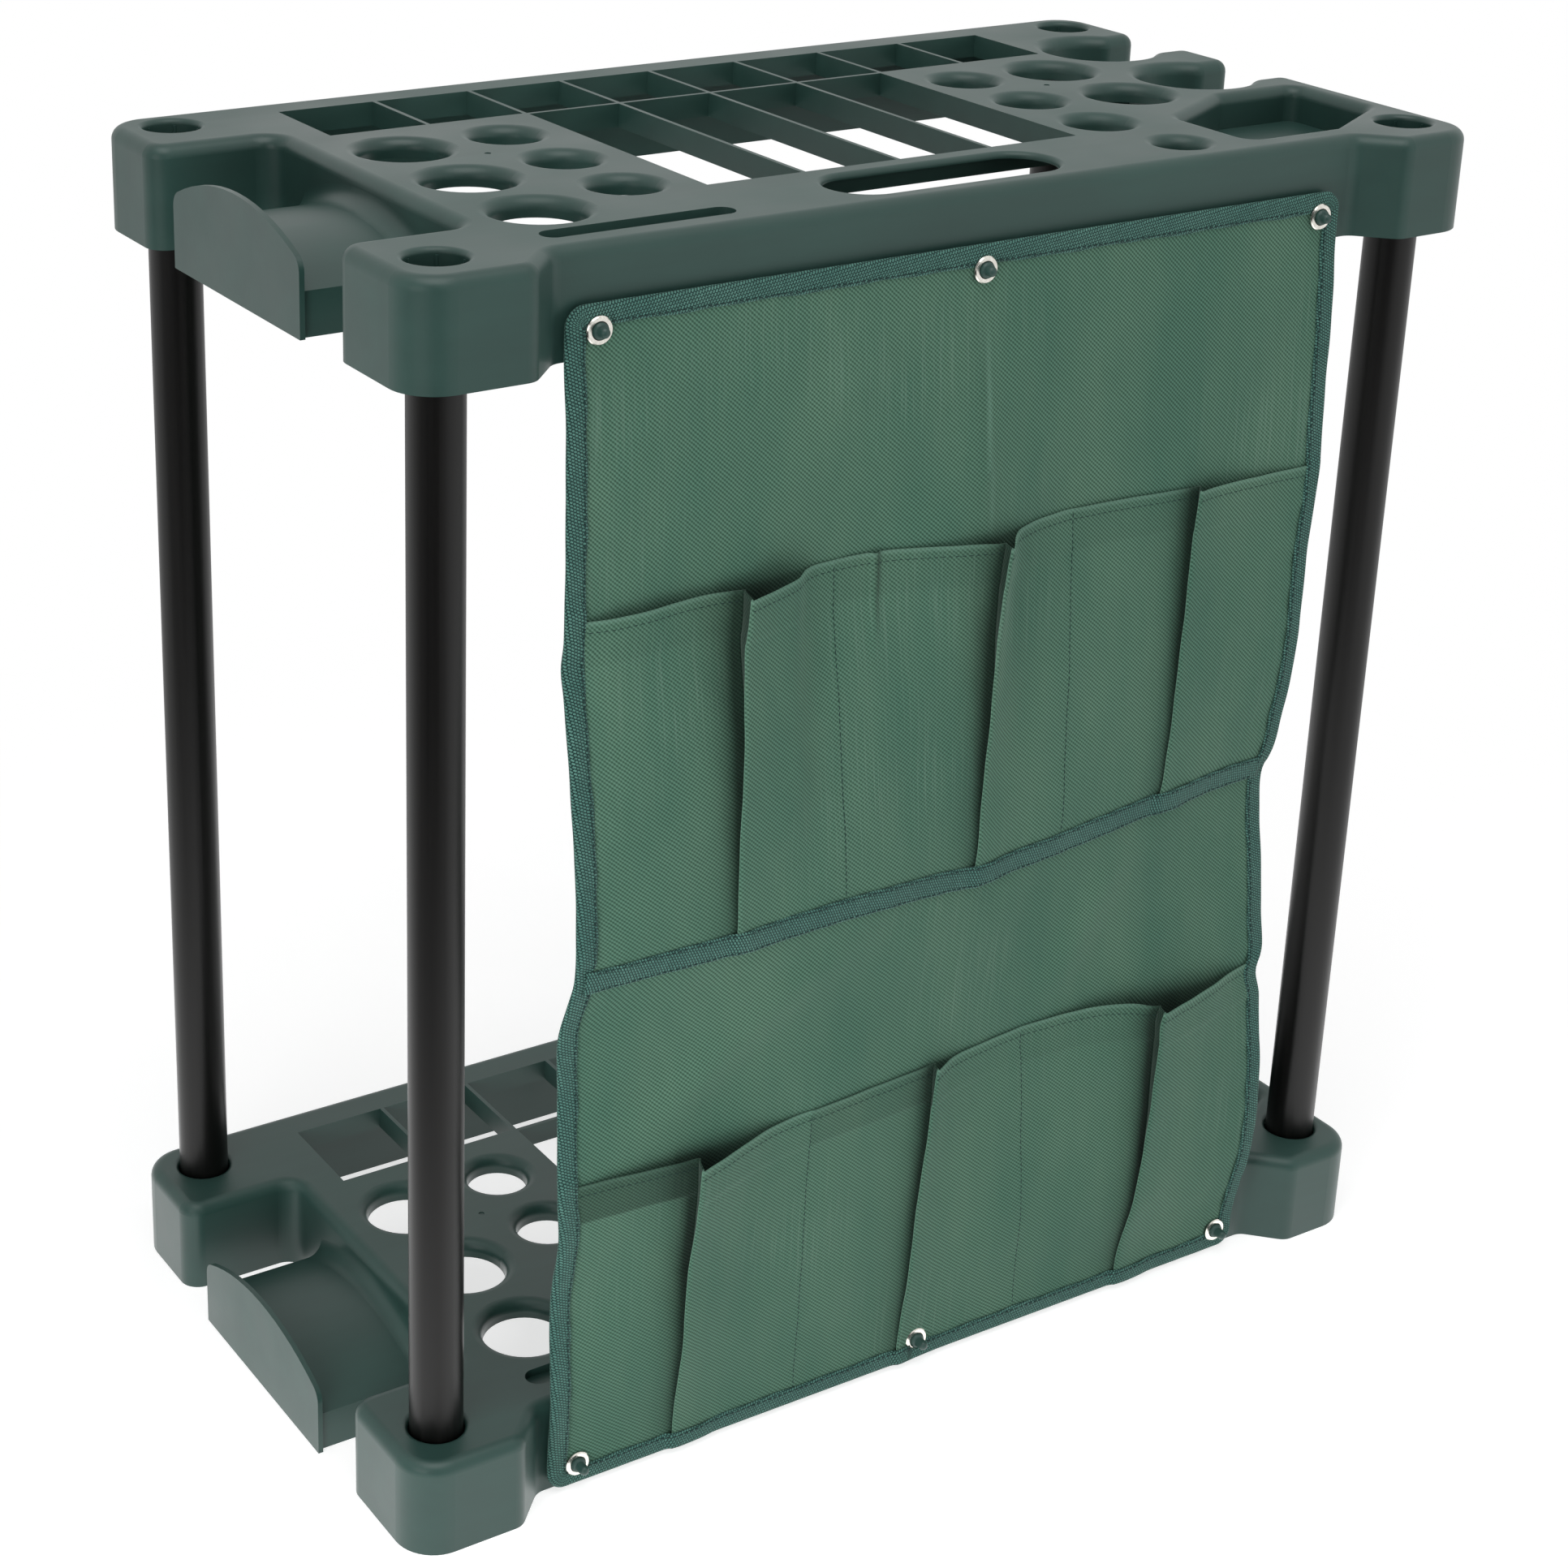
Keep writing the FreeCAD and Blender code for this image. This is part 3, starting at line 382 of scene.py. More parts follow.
def wear_and_painted_light(tree, flat, colour):
    """Worn threads in patches, a painted highlight along marked edges and crests, and painted shade in marked
    places.
    """
    streaks = noise(tree, stretched(tree, flat, (900.0, 16.0, 1.0)), Scale=1.0, Detail=2.0, Roughness=0.5)
    patches = noise(tree, flat, Scale=7.0, Detail=1.0)
    wear = colour_run(tree, streaks, (0.52, 0.72), (BLACK, WHITE))
    where = colour_run(tree, patches, (0.48, 0.62), (BLACK, grey(0.32)))
    amount = blend_colour(tree, "MULTIPLY", 1.0, wear, where)
    worn = blend_colour(tree, "MIX", amount, colour, WORN_THREADS)
    # Painted highlight where the sheet is marked for it
    highlight_mask = node(tree, "Attribute", "Fac", attribute_name="PaintedHighlight")
    paler = blend_colour(tree, "MIX", highlight_mask, worn, PAINTED_HIGHLIGHT)
    # Painted shade where the sheet is marked for it
    shade_mask = node(tree, "Attribute", "Fac", attribute_name="PaintedShade")
    return blend_colour(tree, "MULTIPLY", shade_mask, paler, DEEP_SHADE)


def woven(name, colours, make_threads, weave_turn, roughness, bump, marked=False):
    """Woven cloth or tape, its threads laid on the sheet's own flat map in mm."""
    material, tree, shader = new_material(name, roughness, 0.25)
    for socket, value in (("Sheen Weight", 0.12), ("Sheen Roughness", 0.5), ("Sheen Tint", SHEEN_TINT)):
        feed(tree, shader.inputs[socket], value)
    flat = node(tree, "UVMap", "UV", uv_map="Flat")
    threads = make_threads(tree, thread_places(tree, flat, weave_turn))
    base = colour_run(tree, threads, (0.0, 1.0), colours)
    # Cloudy tone: uneven dye, and painted soft shading of broad folds
    cloud = noise(tree, stretched(tree, flat, (20.0, 7.0, 1.0)), Scale=1.0, Detail=4.0, Roughness=0.55)
    colour = blend_colour(tree, "MULTIPLY", 1.0, base, colour_run(tree, cloud, (0.34, 0.66), DYE_AND_FOLD_SHADE))
    # Worn threads, painted highlights and painted shade on sheets that carry those marks
    if marked:
        colour = wear_and_painted_light(tree, flat, colour)
    feed(tree, shader.inputs["Base Color"], colour)
    creases = noise(tree, flat, Scale=30.0, Detail=5.0, Roughness=0.55)
    add_bump(tree, shader, threads, bump, 0.0004)
    add_bump(tree, shader, creases, 0.25, 0.002)
    return material


# How the cloth hangs, in mm: x across, z up, out from the front of the backing

FLAT_LEFT, FLAT_RIGHT = -209.0, 212.0
FLAT_FOOT, FLAT_HEAD = 2.0, 576.0
BACKING_FRONT = -139.75
BACKING_COLUMNS, BACKING_LEVELS = 181, 230
CLOTH_THICKNESS = 0.8
TAPE_WIDTH = 9.0
CORNER = 9.0
EYELET_FOOT, EYELET_HEAD = 13.0, 565.0
EYELETS = [(x, z) for z in (EYELET_FOOT, EYELET_HEAD) for x in (-194.0, 3.0, 200.0)]
EYELET_HOLE = 4.6
PUNCH_BACK, PUNCH_LENGTH = 0.5, 12.0

# The pegs hold the cloth flat below and above these heights, and it hangs freely this far from them
HELD_FOOT, HELD_HEAD, HELD_EASE = 24.0, 552.0, 20.0

# How far out the backing hangs at these places across it, from the foot to the head
SWAY_PLACES = (-209, -120, -60, 3, 62, 135, 212)
SWAY_ROWS = (
    (2, (0, 0, 0, 0, 0, 0, 0)),
    (22, (0, 0, 0, 0, 0, 0, 0)),
    (60, (3, 3, 3, 2, 3, 5, 7)),
    (110, (3, 5, 5, 3, 2, 5, 6)),
    (145, (8, 7, 7, 4, 1, 4, 1)),
    (170, (9, 9, 9, 5, 0, 3, 0)),
    (215, (5, 8, 9, 6, 2, 0, -2)),
    (250, (7, 12, 13, 10, 5, 0, -5)),
    (276, (13, 16, 16, 12, 8, 2, -5)),
    (300, (14, 15, 15, 12, 8, 3, -1)),
    (335, (13, 13, 12, 11, 7, 4, 4)),
    (370, (10, 10, 9, 10, 6, 4, 5)),
    (410, (5, 5, 4, 9, 4, 3, 5)),
    (443, (3, 3, 1, 9, 2, 3, 5)),
    (490, (3, 3, 3, 6, 3, 3, 3)),
    (530, (2, 2, 2, 2, 2, 2, 2)),
    (552, (0, 0, 0, 0, 0, 0, 0)),
    (576, (0, 0, 0, 0, 0, 0, 0)),
)
SWAY_COLUMNS = [[(z, row[i]) for z, row in SWAY_ROWS] for i in range(len(SWAY_PLACES))]

# How far the two side edges stray to the right at a height
LEFT_SHIFT = [(30, 0.0), (106, -1.5), (142, -0.5), (168, -2.5), (214, -0.6), (245, -2.0), (262, 0.5),
              (276, 2.5), (326, 1.4), (368, 0.0), (408, -0.9), (420, -1.6), (432, -0.2), (488, 0.3),
              (540, 0.0)]
RIGHT_SHIFT = [(30, 0.0), (79, 3.0), (151, 2.0), (166, -1.5), (178, 2.0), (202, -1.0), (255, -5.0),
               (277, -6.5), (291, -3.0), (308, -2.5), (333, -2.0), (400, -1.5), (444, 0.0), (504, 0.5),
               (540, 0.0)]

# The upright fold left by packing: it leans to the right below the middle eyelet of the head
FOLD_PLACE, FOLD_SLANT, FOLD_WIDTH = 3.0, 0.035, 6.0
FOLD_DEPTH = [(430, 0.0), (450, 2.0), (520, 1.6), (552, 0.0)]
FOLD_SHOWS = [(440, 0.0), (455, 1.0), (535, 1.0), (550, 0.0)]
# Painted shade on the left of the packing fold, and a painted highlight along its crest
FOLD_SHADE, FOLD_HIGHLIGHT = 0.16, 0.22

# Soft folds below the middle tape: depth, place at DRAPE_LEVEL, slant and width
DRAPE_LEVEL = 225.0
DRAPE_SHOWS = [(176, 0.0), (205, 1.0), (240, 1.0), (268, 0.0)]
DRAPE_FOLDS = ((3.2, 92.0, 0.55, 13.0), (2.4, -110.0, 1.3, 18.0))

# Painted shade on the backing round the pockets' mouths, by the height above the mouth, where the gap is deep
STRIPS_PART = 300.0
DEEP_GAP = 14.0
MOUTH_SHADE = [(-40, 0.95), (-4, 0.9), (0, 0.45), (4, 0.16), (10, 0.0)]


def sway(x, z):
    """How far out the backing hangs at a place."""
    return curve_at([(place, curve_at(column, z)) for place, column in zip(SWAY_PLACES, SWAY_COLUMNS)], x)


def ripple(x, z):
    """Small uneven waves of a sheet that was folded and sewn."""
    broad = 0.35 * math.sin(x * 0.061 + z * 0.017) * math.sin(z * 0.043 + 1.3)
    slanted = 0.22 * math.sin(x * 0.13 - z * 0.09 + 0.7)
    fine = 0.12 * math.sin(x * 0.31 + z * 0.21)
    return broad + slanted + fine


def fold_line(z):
    """Where the upright packing fold runs at a height."""
    return FOLD_PLACE + (EYELET_HEAD - z) * FOLD_SLANT


def crease(x, z):
    """The sharp upright fold left by packing, strongest above the pockets."""
    return curve_at(FOLD_DEPTH, z) * math.exp(-abs(x - fold_line(z)) / FOLD_WIDTH)


def drape(x, z):
    """Two soft slanted folds between the middle tape and the lower pockets."""
    folds = 0.0
    for depth, place, slant, width in DRAPE_FOLDS:
        folds += depth * math.exp(-((x - place - (z - DRAPE_LEVEL) * slant) / width) ** 2)
    return curve_at(DRAPE_SHOWS, z) * folds


def hang(x, z, lift=0.0):
    """A point of the cloth: flat place x, z, and its lift off the backing's front."""
    share = (x - FLAT_LEFT) / (FLAT_RIGHT - FLAT_LEFT)
    shift = curve_at(LEFT_SHIFT, z) * (1 - share) ** 3 + curve_at(RIGHT_SHIFT, z) * share ** 3
    free = clamp(min(z - HELD_FOOT, HELD_HEAD - z) / HELD_EASE)
    out = sway(x, z) + free * (ripple(x, z) + crease(x, z) + drape(x, z))
    return (x + shift, BACKING_FRONT - out - lift, z)


def inside_corner(x, z):
    """A place on the backing, brought inside the rounded corner that the tape goes round."""
    reach = CORNER - 1.0
    centre_x = min(max(x, FLAT_LEFT + CORNER), FLAT_RIGHT - CORNER)
    centre_z = min(max(z, FLAT_FOOT + CORNER), FLAT_HEAD - CORNER)
    gap = math.dist((x, z), (centre_x, centre_z))
    if centre_x == x or centre_z == z or gap < reach:
        return x, z
    share = reach / gap
    return centre_x + (x - centre_x) * share, centre_z + (z - centre_z) * share


def backing_shade(x, z):
    """The painted shade on the backing: deep behind the pockets' mouths and faint on the left of the packing
    fold.
    """
    strip = UPPER if z > STRIPS_PART else LOWER
    above = z - strip["mouth"] - curve_at(strip["mouth_line"], x)
    shade = min(1.0, mouth_gap(strip, x) / DEEP_GAP) * curve_at(MOUTH_SHADE, above)
    beside = fold_line(z) - x
    if beside > 0.0:
        shade += curve_at(FOLD_SHOWS, z) * FOLD_SHADE * math.exp(-beside / FOLD_WIDTH)
    return shade


def fold_highlight(x, z):
    """The painted highlight along the crest of the packing fold."""
    return curve_at(FOLD_SHOWS, z) * FOLD_HIGHLIGHT * max(0.0, 1.0 - abs(x - fold_line(z) - 1.0) / 2.0)


def make_backing(cloth):
    """The sheet that carries the pockets."""
    columns = spread(FLAT_LEFT + 1, FLAT_RIGHT - 1, BACKING_COLUMNS)
    levels = spread(FLAT_FOOT + 1, FLAT_HEAD - 1, BACKING_LEVELS)
    flat = [[inside_corner(x, z) for x in columns] for z in levels]
    rows = [[hang(x, z) for x, z in line] for line in flat]
    # Painted shade and painted highlight marks, kept on the front face only
    marks = {"PaintedShade": [[backing_shade(x, z) for x in columns] for z in levels],
             "PaintedHighlight": [[fold_highlight(x, z) for x in columns] for z in levels]}
    piece = grid_piece("backing_sheet", rows, flat, marks)
    thicken(piece, CLOTH_THICKNESS, -1.0)
    front_only(piece, "PaintedShade")
    front_only(piece, "PaintedHighlight")
    finish_piece(piece, cloth)
    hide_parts("backing_cloth")
    return piece


def punch_eyelets(piece, places):
    """Cuts round holes through a piece at the eyelets' places."""
    for x, z in places:
        punch = add_rod(x, BACKING_FRONT + PUNCH_BACK, z, EYELET_HOLE, PUNCH_LENGTH, sides=24)
        cut = piece.modifiers.new("Hole", "BOOLEAN")
        cut.operation = "DIFFERENCE"
        cut.object = punch
        cut.solver = "MANIFOLD"
        apply_modifiers(piece)
        bpy.data.objects.remove(punch)


# The pocket strips: each pocket is a path from seam to seam with one pleat, swept from foot to mouth.
# A pocket's seams and fold are places at the foot and at the mouth. Its turn says how far beyond the fold
# the pleat turns back at the foot and at the mouth, and how far out that is at the mouth. The crest is how
# far out the fold stands there. The left layer runs up to the turn and the right one from the fold, both
# through points (share of the way, out at the mouth). A pucker is a pinch in the mouth at a place, and
# hem_shade is the strength of the painted shade on the hem of the left layer.

UPPER = {
    "foot": 273.0, "mouth": 443.0, "hem": 21.0,
    "mouth_line": [(-209, -3.0), (-150, -1.0), (-72, 0.5), (-40, 0.5), (8, -1.0), (25, 0.5), (62, 1.5),
                   (132, 0.5), (212, 0.0)],
    "pockets": [
        {"seams": ((-203, -67), (-203, -72)), "fold": (-127.5, -129.0), "turn": (12.0, 4.5, 7.0),
         "crest": 19.5,
         "left": [(0.2, 4.0), (0.45, 5.0), (0.7, 4.0), (0.88, 4.6)],
         "right": [(0.08, 18.6), (0.3, 14.5), (0.55, 10.0), (0.7, 3.5), (0.8, 1.2)]},
        {"seams": ((-67, 66), (-72, 62)), "fold": (11.0, 8.4), "turn": (11.0, 2.5, 8.0),
         "crest": 15.5, "pucker": -51.5,
         "left": [(0.18, 0.8), (0.4, 0.8), (0.62, 1.8), (0.84, 4.2)],
         "right": [(0.06, 14.0), (0.18, 7.5), (0.32, 2.6), (0.5, 1.0), (0.75, 0.8)]},
        {"seams": ((66, 206), (62, 206)), "fold": (132.5, 131.8), "turn": (10.0, 5.0, 1.5),
         "crest": 8.0,
         "left": [(0.25, 0.8), (0.5, 0.8), (0.75, 0.8), (0.92, 1.0)],
         "right": [(0.08, 7.2), (0.3, 4.6), (0.55, 2.6), (0.8, 1.2)]},
    ],
}
LOWER = {
    "foot": 6.0, "mouth": 172.5, "hem": 21.0,
    "mouth_line": [(-209, -2.5), (-140, -2.0), (-72, -0.5), (-23, 1.5), (57, 3.0), (95, 4.5), (118, 3.5),
                   (131, 0.5), (175, -0.5), (212, -1.5)],
    "pockets": [
        {"seams": ((-203, -71), (-203, -74)), "fold": (-141.5, -145.0), "turn": (12.0, 5.0, 7.5),
         "crest": 18.0, "hem_shade": 0.58,
         "left": [(0.2, 1.5), (0.45, 3.2), (0.7, 5.2), (0.9, 6.8)],
         "right": [(0.08, 16.6), (0.3, 11.0), (0.55, 5.0), (0.8, 1.4)]},
        {"seams": ((-71, 65), (-74, 56)), "fold": (-9.0, -3.7), "turn": (10.0, 2.5, 1.6),
         "crest": 7.5, "hem_shade": 0.22,
         "left": [(0.25, 0.8), (0.5, 0.8), (0.75, 0.9), (0.93, 1.2)],
         "right": [(0.07, 6.4), (0.22, 2.6), (0.5, 0.9), (0.8, 0.8)]},
        {"seams": ((65, 206), (56, 206)), "fold": (131.0, 129.0), "turn": (11.0, 3.5, 12.0),
         "crest": 20.0,
         "left": [(0.2, 1.2), (0.45, 3.0), (0.7, 6.6), (0.9, 10.5)],
         "right": [(0.1, 18.4), (0.35, 13.5), (0.6, 8.0), (0.82, 3.0)]},
    ],
}
SEAM_OUT = 0.45
LAYER = 0.95
PLEAT_LOWEST, PLEAT_TOP = 0.55, 2.05
STRIP_THICKNESS = 0.6
HEM_THICKNESS = 0.4

# How slowly a pocket opens above its foot, and the round forms of its pleat
OPENING_EASE, TURN_EASE = 1.15, 3
TURN_BEGINS, TURN_ENDS = 1.0, 0.6
FOLD_UNDER, FOLD_BELOW = 0.9, 0.45
FOLD_OVER, FOLD_ABOVE = 0.8, 0.12
PLEAT_SAG = 0.05
PLEAT_STAYS, PLEAT_THINS = 12.0, 14.0

# How many points each span of a pocket's path gets: more where it turns, fewer where it runs flat
SEAM_SPAN, FLAT_SPAN, PUCKER_SPAN, TURN_SPAN = 12, 5, 16, 10
PLEAT_SPANS = [3, 3, 4, 4]
CREST_SPANS = [3, 3]

# Heights of the rows of a strip, as shares: a row each side of the hem's step, and many near the mouth
STRIP_RISES = ([0.0, 0.012] + spread(0.03, 0.86, 40)
               + [0.872, 0.876, 0.884, 0.9, 0.925, 0.95, 0.97, 0.985, 0.995, 1.0])
# Above this share of the height the mouth's edge gets a painted highlight
MOUTH_EDGE = 0.993

# How strongly the pucker stands out, and how dark the painted shade beside it is, on its way up
PUCKER_RISE = [(0.68, 0.0), (0.85, 1.6), (1.0, 2.4)]
PINCH_SHADE = [(0.74, 0.0), (0.86, 0.6), (1.0, 1.0)]

# The layers pressed together under an eyelet, and how far from it they are free
PRESSED, PRESS_REACH = 0.55, 7.0


def seams_at(pocket, rise):
    """Where a pocket's two seams run at a share of its height, from foot 0 to mouth 1."""
    return [blend(foot, mouth, rise) for foot, mouth in zip(*pocket["seams"])]


def pocket_keys(pocket, rise):
    """The key points (across, out) of a pocket's path at a share of its height."""
    ease = rise ** OPENING_EASE
    seam_left, seam_right = seams_at(pocket, rise)
    fold = blend(*pocket["fold"], rise)
    foot_turn, mouth_turn, turn_out = pocket["turn"]
    turn = fold + foot_turn + (mouth_turn - foot_turn) * ease
    crest = blend(PLEAT_TOP, pocket["crest"], ease)
    inner = blend(PLEAT_LOWEST, turn_out, rise ** TURN_EASE)
    keys = [(seam_left, SEAM_OUT)]
    reach = turn - TURN_BEGINS - seam_left
    for share, out in pocket["left"]:
        keys.append((seam_left + share * reach, SEAM_OUT + 0.1 * share + (out - SEAM_OUT) * ease))
    back = (turn - TURN_ENDS, inner + LAYER)
    under = (fold + FOLD_UNDER, crest - LAYER)
    halfway = ((back[0] + under[0]) / 2, (back[1] + under[1]) / 2 - PLEAT_SAG * (crest - inner))
    keys += [(turn - TURN_BEGINS, inner), (turn, inner + LAYER / 2), back, halfway, under,
             (fold, crest - FOLD_BELOW), (fold + FOLD_OVER, crest + FOLD_ABOVE)]
    reach = seam_right - fold
    for share, out in pocket["right"]:
        low = blend(PLEAT_TOP, SEAM_OUT, clamp((share * reach - PLEAT_STAYS) / PLEAT_THINS))
        keys.append((fold + share * reach, low + (out - low) * ease))
    keys.append((seam_right, SEAM_OUT))
    return keys


def mouth_gap(strip, x):
    """How far a strip's mouth stands off the backing at a place."""
    for pocket in strip["pockets"]:
        left, right = pocket["seams"][1]
        if left <= x <= right:
            fold = pocket["fold"][1]
            line = [(left, 0.0)] + [(left + share * (fold - left), out) for share, out in pocket["left"]]
            line += [(fold, pocket["crest"])]
            line += [(fold + share * (right - fold), out) for share, out in pocket["right"]] + [(right, 0.0)]
            return curve_at(line, x)
    return 0.0


def between_knots(knot, first_knot, last_knot, first, last):
    """The value at a knot on the straight line through the values at two knots."""
    span = last_knot - first_knot
    return (last_knot - knot) / span * first + (knot - first_knot) / span * last


def smooth_path(keys, counts):
    """A smooth line through the key points, with a count of points for every span."""
    path = []
    for i, count in enumerate(counts):
        points = keys[max(i - 1, 0)], keys[i], keys[i + 1], keys[min(i + 2, len(keys) - 1)]
        knots = [0.0]
        for a, b in zip(points, points[1:]):
            knots.append(knots[-1] + max(math.dist(a, b), 1e-4) ** 0.5)
        k0, k1, k2, k3 = knots
        for step in range(count):
            k = k1 + (k2 - k1) * step / count
            place = []
            for v0, v1, v2, v3 in zip(*points):
                a1 = between_knots(k, k0, k1, v0, v1)
                a2 = between_knots(k, k1, k2, v1, v2)
                a3 = between_knots(k, k2, k3, v2, v3)
                b1 = between_knots(k, k0, k2, a1, a2)
                b2 = between_knots(k, k1, k3, a2, a3)
                place.append(between_knots(k, k1, k2, b1, b2))
            path.append(tuple(place))
    path.append(keys[-1])
    return path


def span_counts(pocket):
    """The count of points in each span of a pocket's path."""
    left = [SEAM_SPAN] + [FLAT_SPAN] * (len(pocket["left"]) - 1)
    if "pucker" in pocket:
        left[1] = PUCKER_SPAN
    right = [FLAT_SPAN] * (len(pocket["right"]) + 1)
    return left + [TURN_SPAN] + PLEAT_SPANS + CREST_SPANS + right


def fold_steps(pocket):
    """The path's point numbers at the end of the left layer and at the fold."""
    turn = sum(span_counts(pocket)[:len(pocket["left"]) + 1])
    return turn, turn + sum(PLEAT_SPANS)


def strip_path(pocket, rise):
    """A pocket's smooth path at a share of its height."""
    return smooth_path(pocket_keys(pocket, rise), span_counts(pocket))


def path_marks(strip, pocket, path, rise):
    """Painted shade and painted highlights along a pocket's path: (shade, edge) for each of its points."""
    turn, fold = fold_steps(pocket)
    crest = path[fold][0]
    hem = clamp((rise - 1.0 + strip["hem"] / (strip["mouth"] - strip["foot"])) / 0.01)
    marks = []
    for i, (place, _) in enumerate(path):
        if i < turn:
            # Painted shade, darkest at the pleat's fold, with more on the hem
            shade = 0.9 * math.exp(-max(0.0, crest - place) / 7.0) + hem * pocket.get("hem_shade", 0.1)
            # Painted shade in the pinch beside the pucker
            if "pucker" in pocket:
                beside = place - pocket["pucker"]
                shade += 0.7 * curve_at(PINCH_SHADE, rise) * math.exp(-((beside - 2.5) / 1.4) ** 2)
            shade = min(shade, 0.92)
        elif i < fold:
            # Painted shade inside the pleat
            shade = 1.0
        else:
            # Faint painted shade on the hem of the right layer
            shade = 0.03 * hem
        # Painted highlight along the fold's crest and the mouth's edge
        edge = 0.45 if fold <= i <= fold + CREST_SPANS[0] else 0.0
        if rise > MOUTH_EDGE:
            edge = max(edge, 0.3)
        marks.append((shade, edge))
    return marks


def near_eyelet(x, z):
    """How far the layers are pressed together at a place: most under an eyelet, not at all away from it."""
    gap = min(math.dist((x, z), spot) for spot in EYELETS)
    return PRESSED + (1.0 - PRESSED) * clamp((gap - PRESS_REACH) / PRESS_REACH)


def gather(pocket, place, z, rise):
    """Small puckers beside the seams."""
    seam_left, seam_right = seams_at(pocket, rise)
    near = min(abs(place - seam_left), abs(place - seam_right))
    calm = min(1.0, rise * 8.0)
    return calm * 0.35 * math.exp(-near / 9.0) * math.sin(z * 0.33 + seam_left) * min(1.0, near / 2.0)


def loose_wave(place, out, z, rise):
    """Long soft waves where the cloth stands off the backing."""
    free = min(1.0, out / 4.0)
    return free * 0.5 * math.sin(z * 0.035 + place * 0.05) * math.sin(math.pi * min(1.0, rise * 1.2))


def pucker(pocket, place, out, rise):
    """How far the pinch in a mouth stands out, less on its right side."""
    if "pucker" not in pocket or out >= 5.0:
        return 0.0
    beside = place - pocket["pucker"]
    swell = curve_at(PUCKER_RISE, rise) * math.exp(-((beside - 1.5) / 1.9) ** 2)
    return swell - 0.4 * swell * clamp(beside / 3.0)


def pocket_point(strip, pocket, place, out, rise):
    """A path point at a share of the height, hung with the backing and dressed with small wrinkles."""
    top = strip["mouth"] + curve_at(strip["mouth_line"], place)
    foot = strip["foot"] + (curve_at(MIDDLE_LINE, place) - MIDDLE_LEVEL if strip is UPPER else 0.0)
    z = foot + (top - foot) * rise
    hem = HEM_THICKNESS * clamp((z - (top - strip["hem"])) / 1.5)
    x, y, _ = hang(place, z)
    return (x, y - near_eyelet(place, z) * out - gather(pocket, place, z, rise)
            - loose_wave(place, out, z, rise) - hem - pucker(pocket, place, out, rise), z)


def make_strip(name, strip, cloth, node_name):
    """One strip of three pleated pockets, and its flat length."""
    rows, shades, edges = [], [], []
    for rise in STRIP_RISES:
        row, marks = [], []
        for index, pocket in enumerate(strip["pockets"]):
            path = strip_path(pocket, rise)
            start = 0 if index == 0 else 1
            row += [pocket_point(strip, pocket, place, out, rise) for place, out in path[start:]]
            marks += path_marks(strip, pocket, path, rise)[start:]
        rows.append(row)
        shades.append([shade for shade, _ in marks])
        edges.append([edge for _, edge in marks])
    lengths = lengths_along(rows[len(rows) * 2 // 3])
    flat = [[(length, point[2]) for length, point in zip(lengths, row)] for row in rows]
    # Painted shade and painted highlight marks for the cloth's material
    piece = grid_piece(name, rows, flat, {"PaintedShade": shades, "PaintedHighlight": edges})
    thicken(piece, STRIP_THICKNESS, 0.0)
    finish_piece(piece, cloth)
    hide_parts(node_name)
    return piece, lengths[-1]


# Bindings: tape folded over the edge, and the flat tape across the middle. A section is (inset from the
# outline, lift off the backing) for the edge tape and (height from the line, lift) for the middle tape.

MIDDLE_LEVEL = 276.0
MIDDLE_LINE = [(-209, 274.5), (-117, 276.5), (-58, 278.0), (-8, 275.5), (12, 274.0), (30, 275.0),
               (70, 276.5), (135, 280.5), (212, 281.5)]
MIDDLE_SECTION = [(-5.7, 0.0), (-5.6, 0.6), (-5.0, 0.85), (-2.5, 0.95), (0.0, 0.9), (2.5, 0.95), (5.0, 0.85),
                  (5.6, 0.6), (5.7, 0.0)]
MIDDLE_COLUMNS = 150
MIDDLE_THICKNESS = 0.5
TAPE_SECTION = [(9.0, 0.1), (8.85, 0.45), (7.6, 0.55), (5.4, 0.58), (3.2, 0.6), (1.6, 0.56), (0.6, 0.4),
                (0.1, 0.1), (0.0, -0.4), (0.1, -0.9), (0.6, -1.2), (1.6, -1.36), (3.2, -1.4), (5.4, -1.38),
                (7.6, -1.35), (8.85, -1.25), (9.0, -0.9)]
TAPE_THICKNESS = 0.4
EDGE_STEP, CORNER_STEPS = 3.0, 8
UPPER_STRIP_SHOWS = 284.0


def strip_top(strip, x, z):
    """How far the outside of a strip stands out at its foot and sides, where tape covers it."""
    rise = (z - strip["foot"]) / (strip["mouth"] - strip["foot"])
    if rise < -0.1 or rise > 1.02:
        return 0.0
    low = SEAM_OUT + STRIP_THICKNESS
    pleat = PLEAT_TOP + STRIP_THICKNESS
    top = low
    for pocket in strip["pockets"]:
        fold = pocket["fold"][0]
        pleat_line = [(fold - 4.0, low), (fold - 1.0, pleat), (fold + 13.0, pleat), (fold + 28.0, low)]
        top = max(top, curve_at(pleat_line, x))
    return top * near_eyelet(x, z)


def under_tape(x, z):
    """What the edge tape lies on at a place, beyond the backing."""
    return max(strip_top(UPPER, x, z) if z > UPPER_STRIP_SHOWS else 0.0, strip_top(LOWER, x, z))


def under_middle(x):
    """What the middle tape lies on at a place along it."""
    return strip_top(UPPER, x, UPPER["foot"]) + 0.15


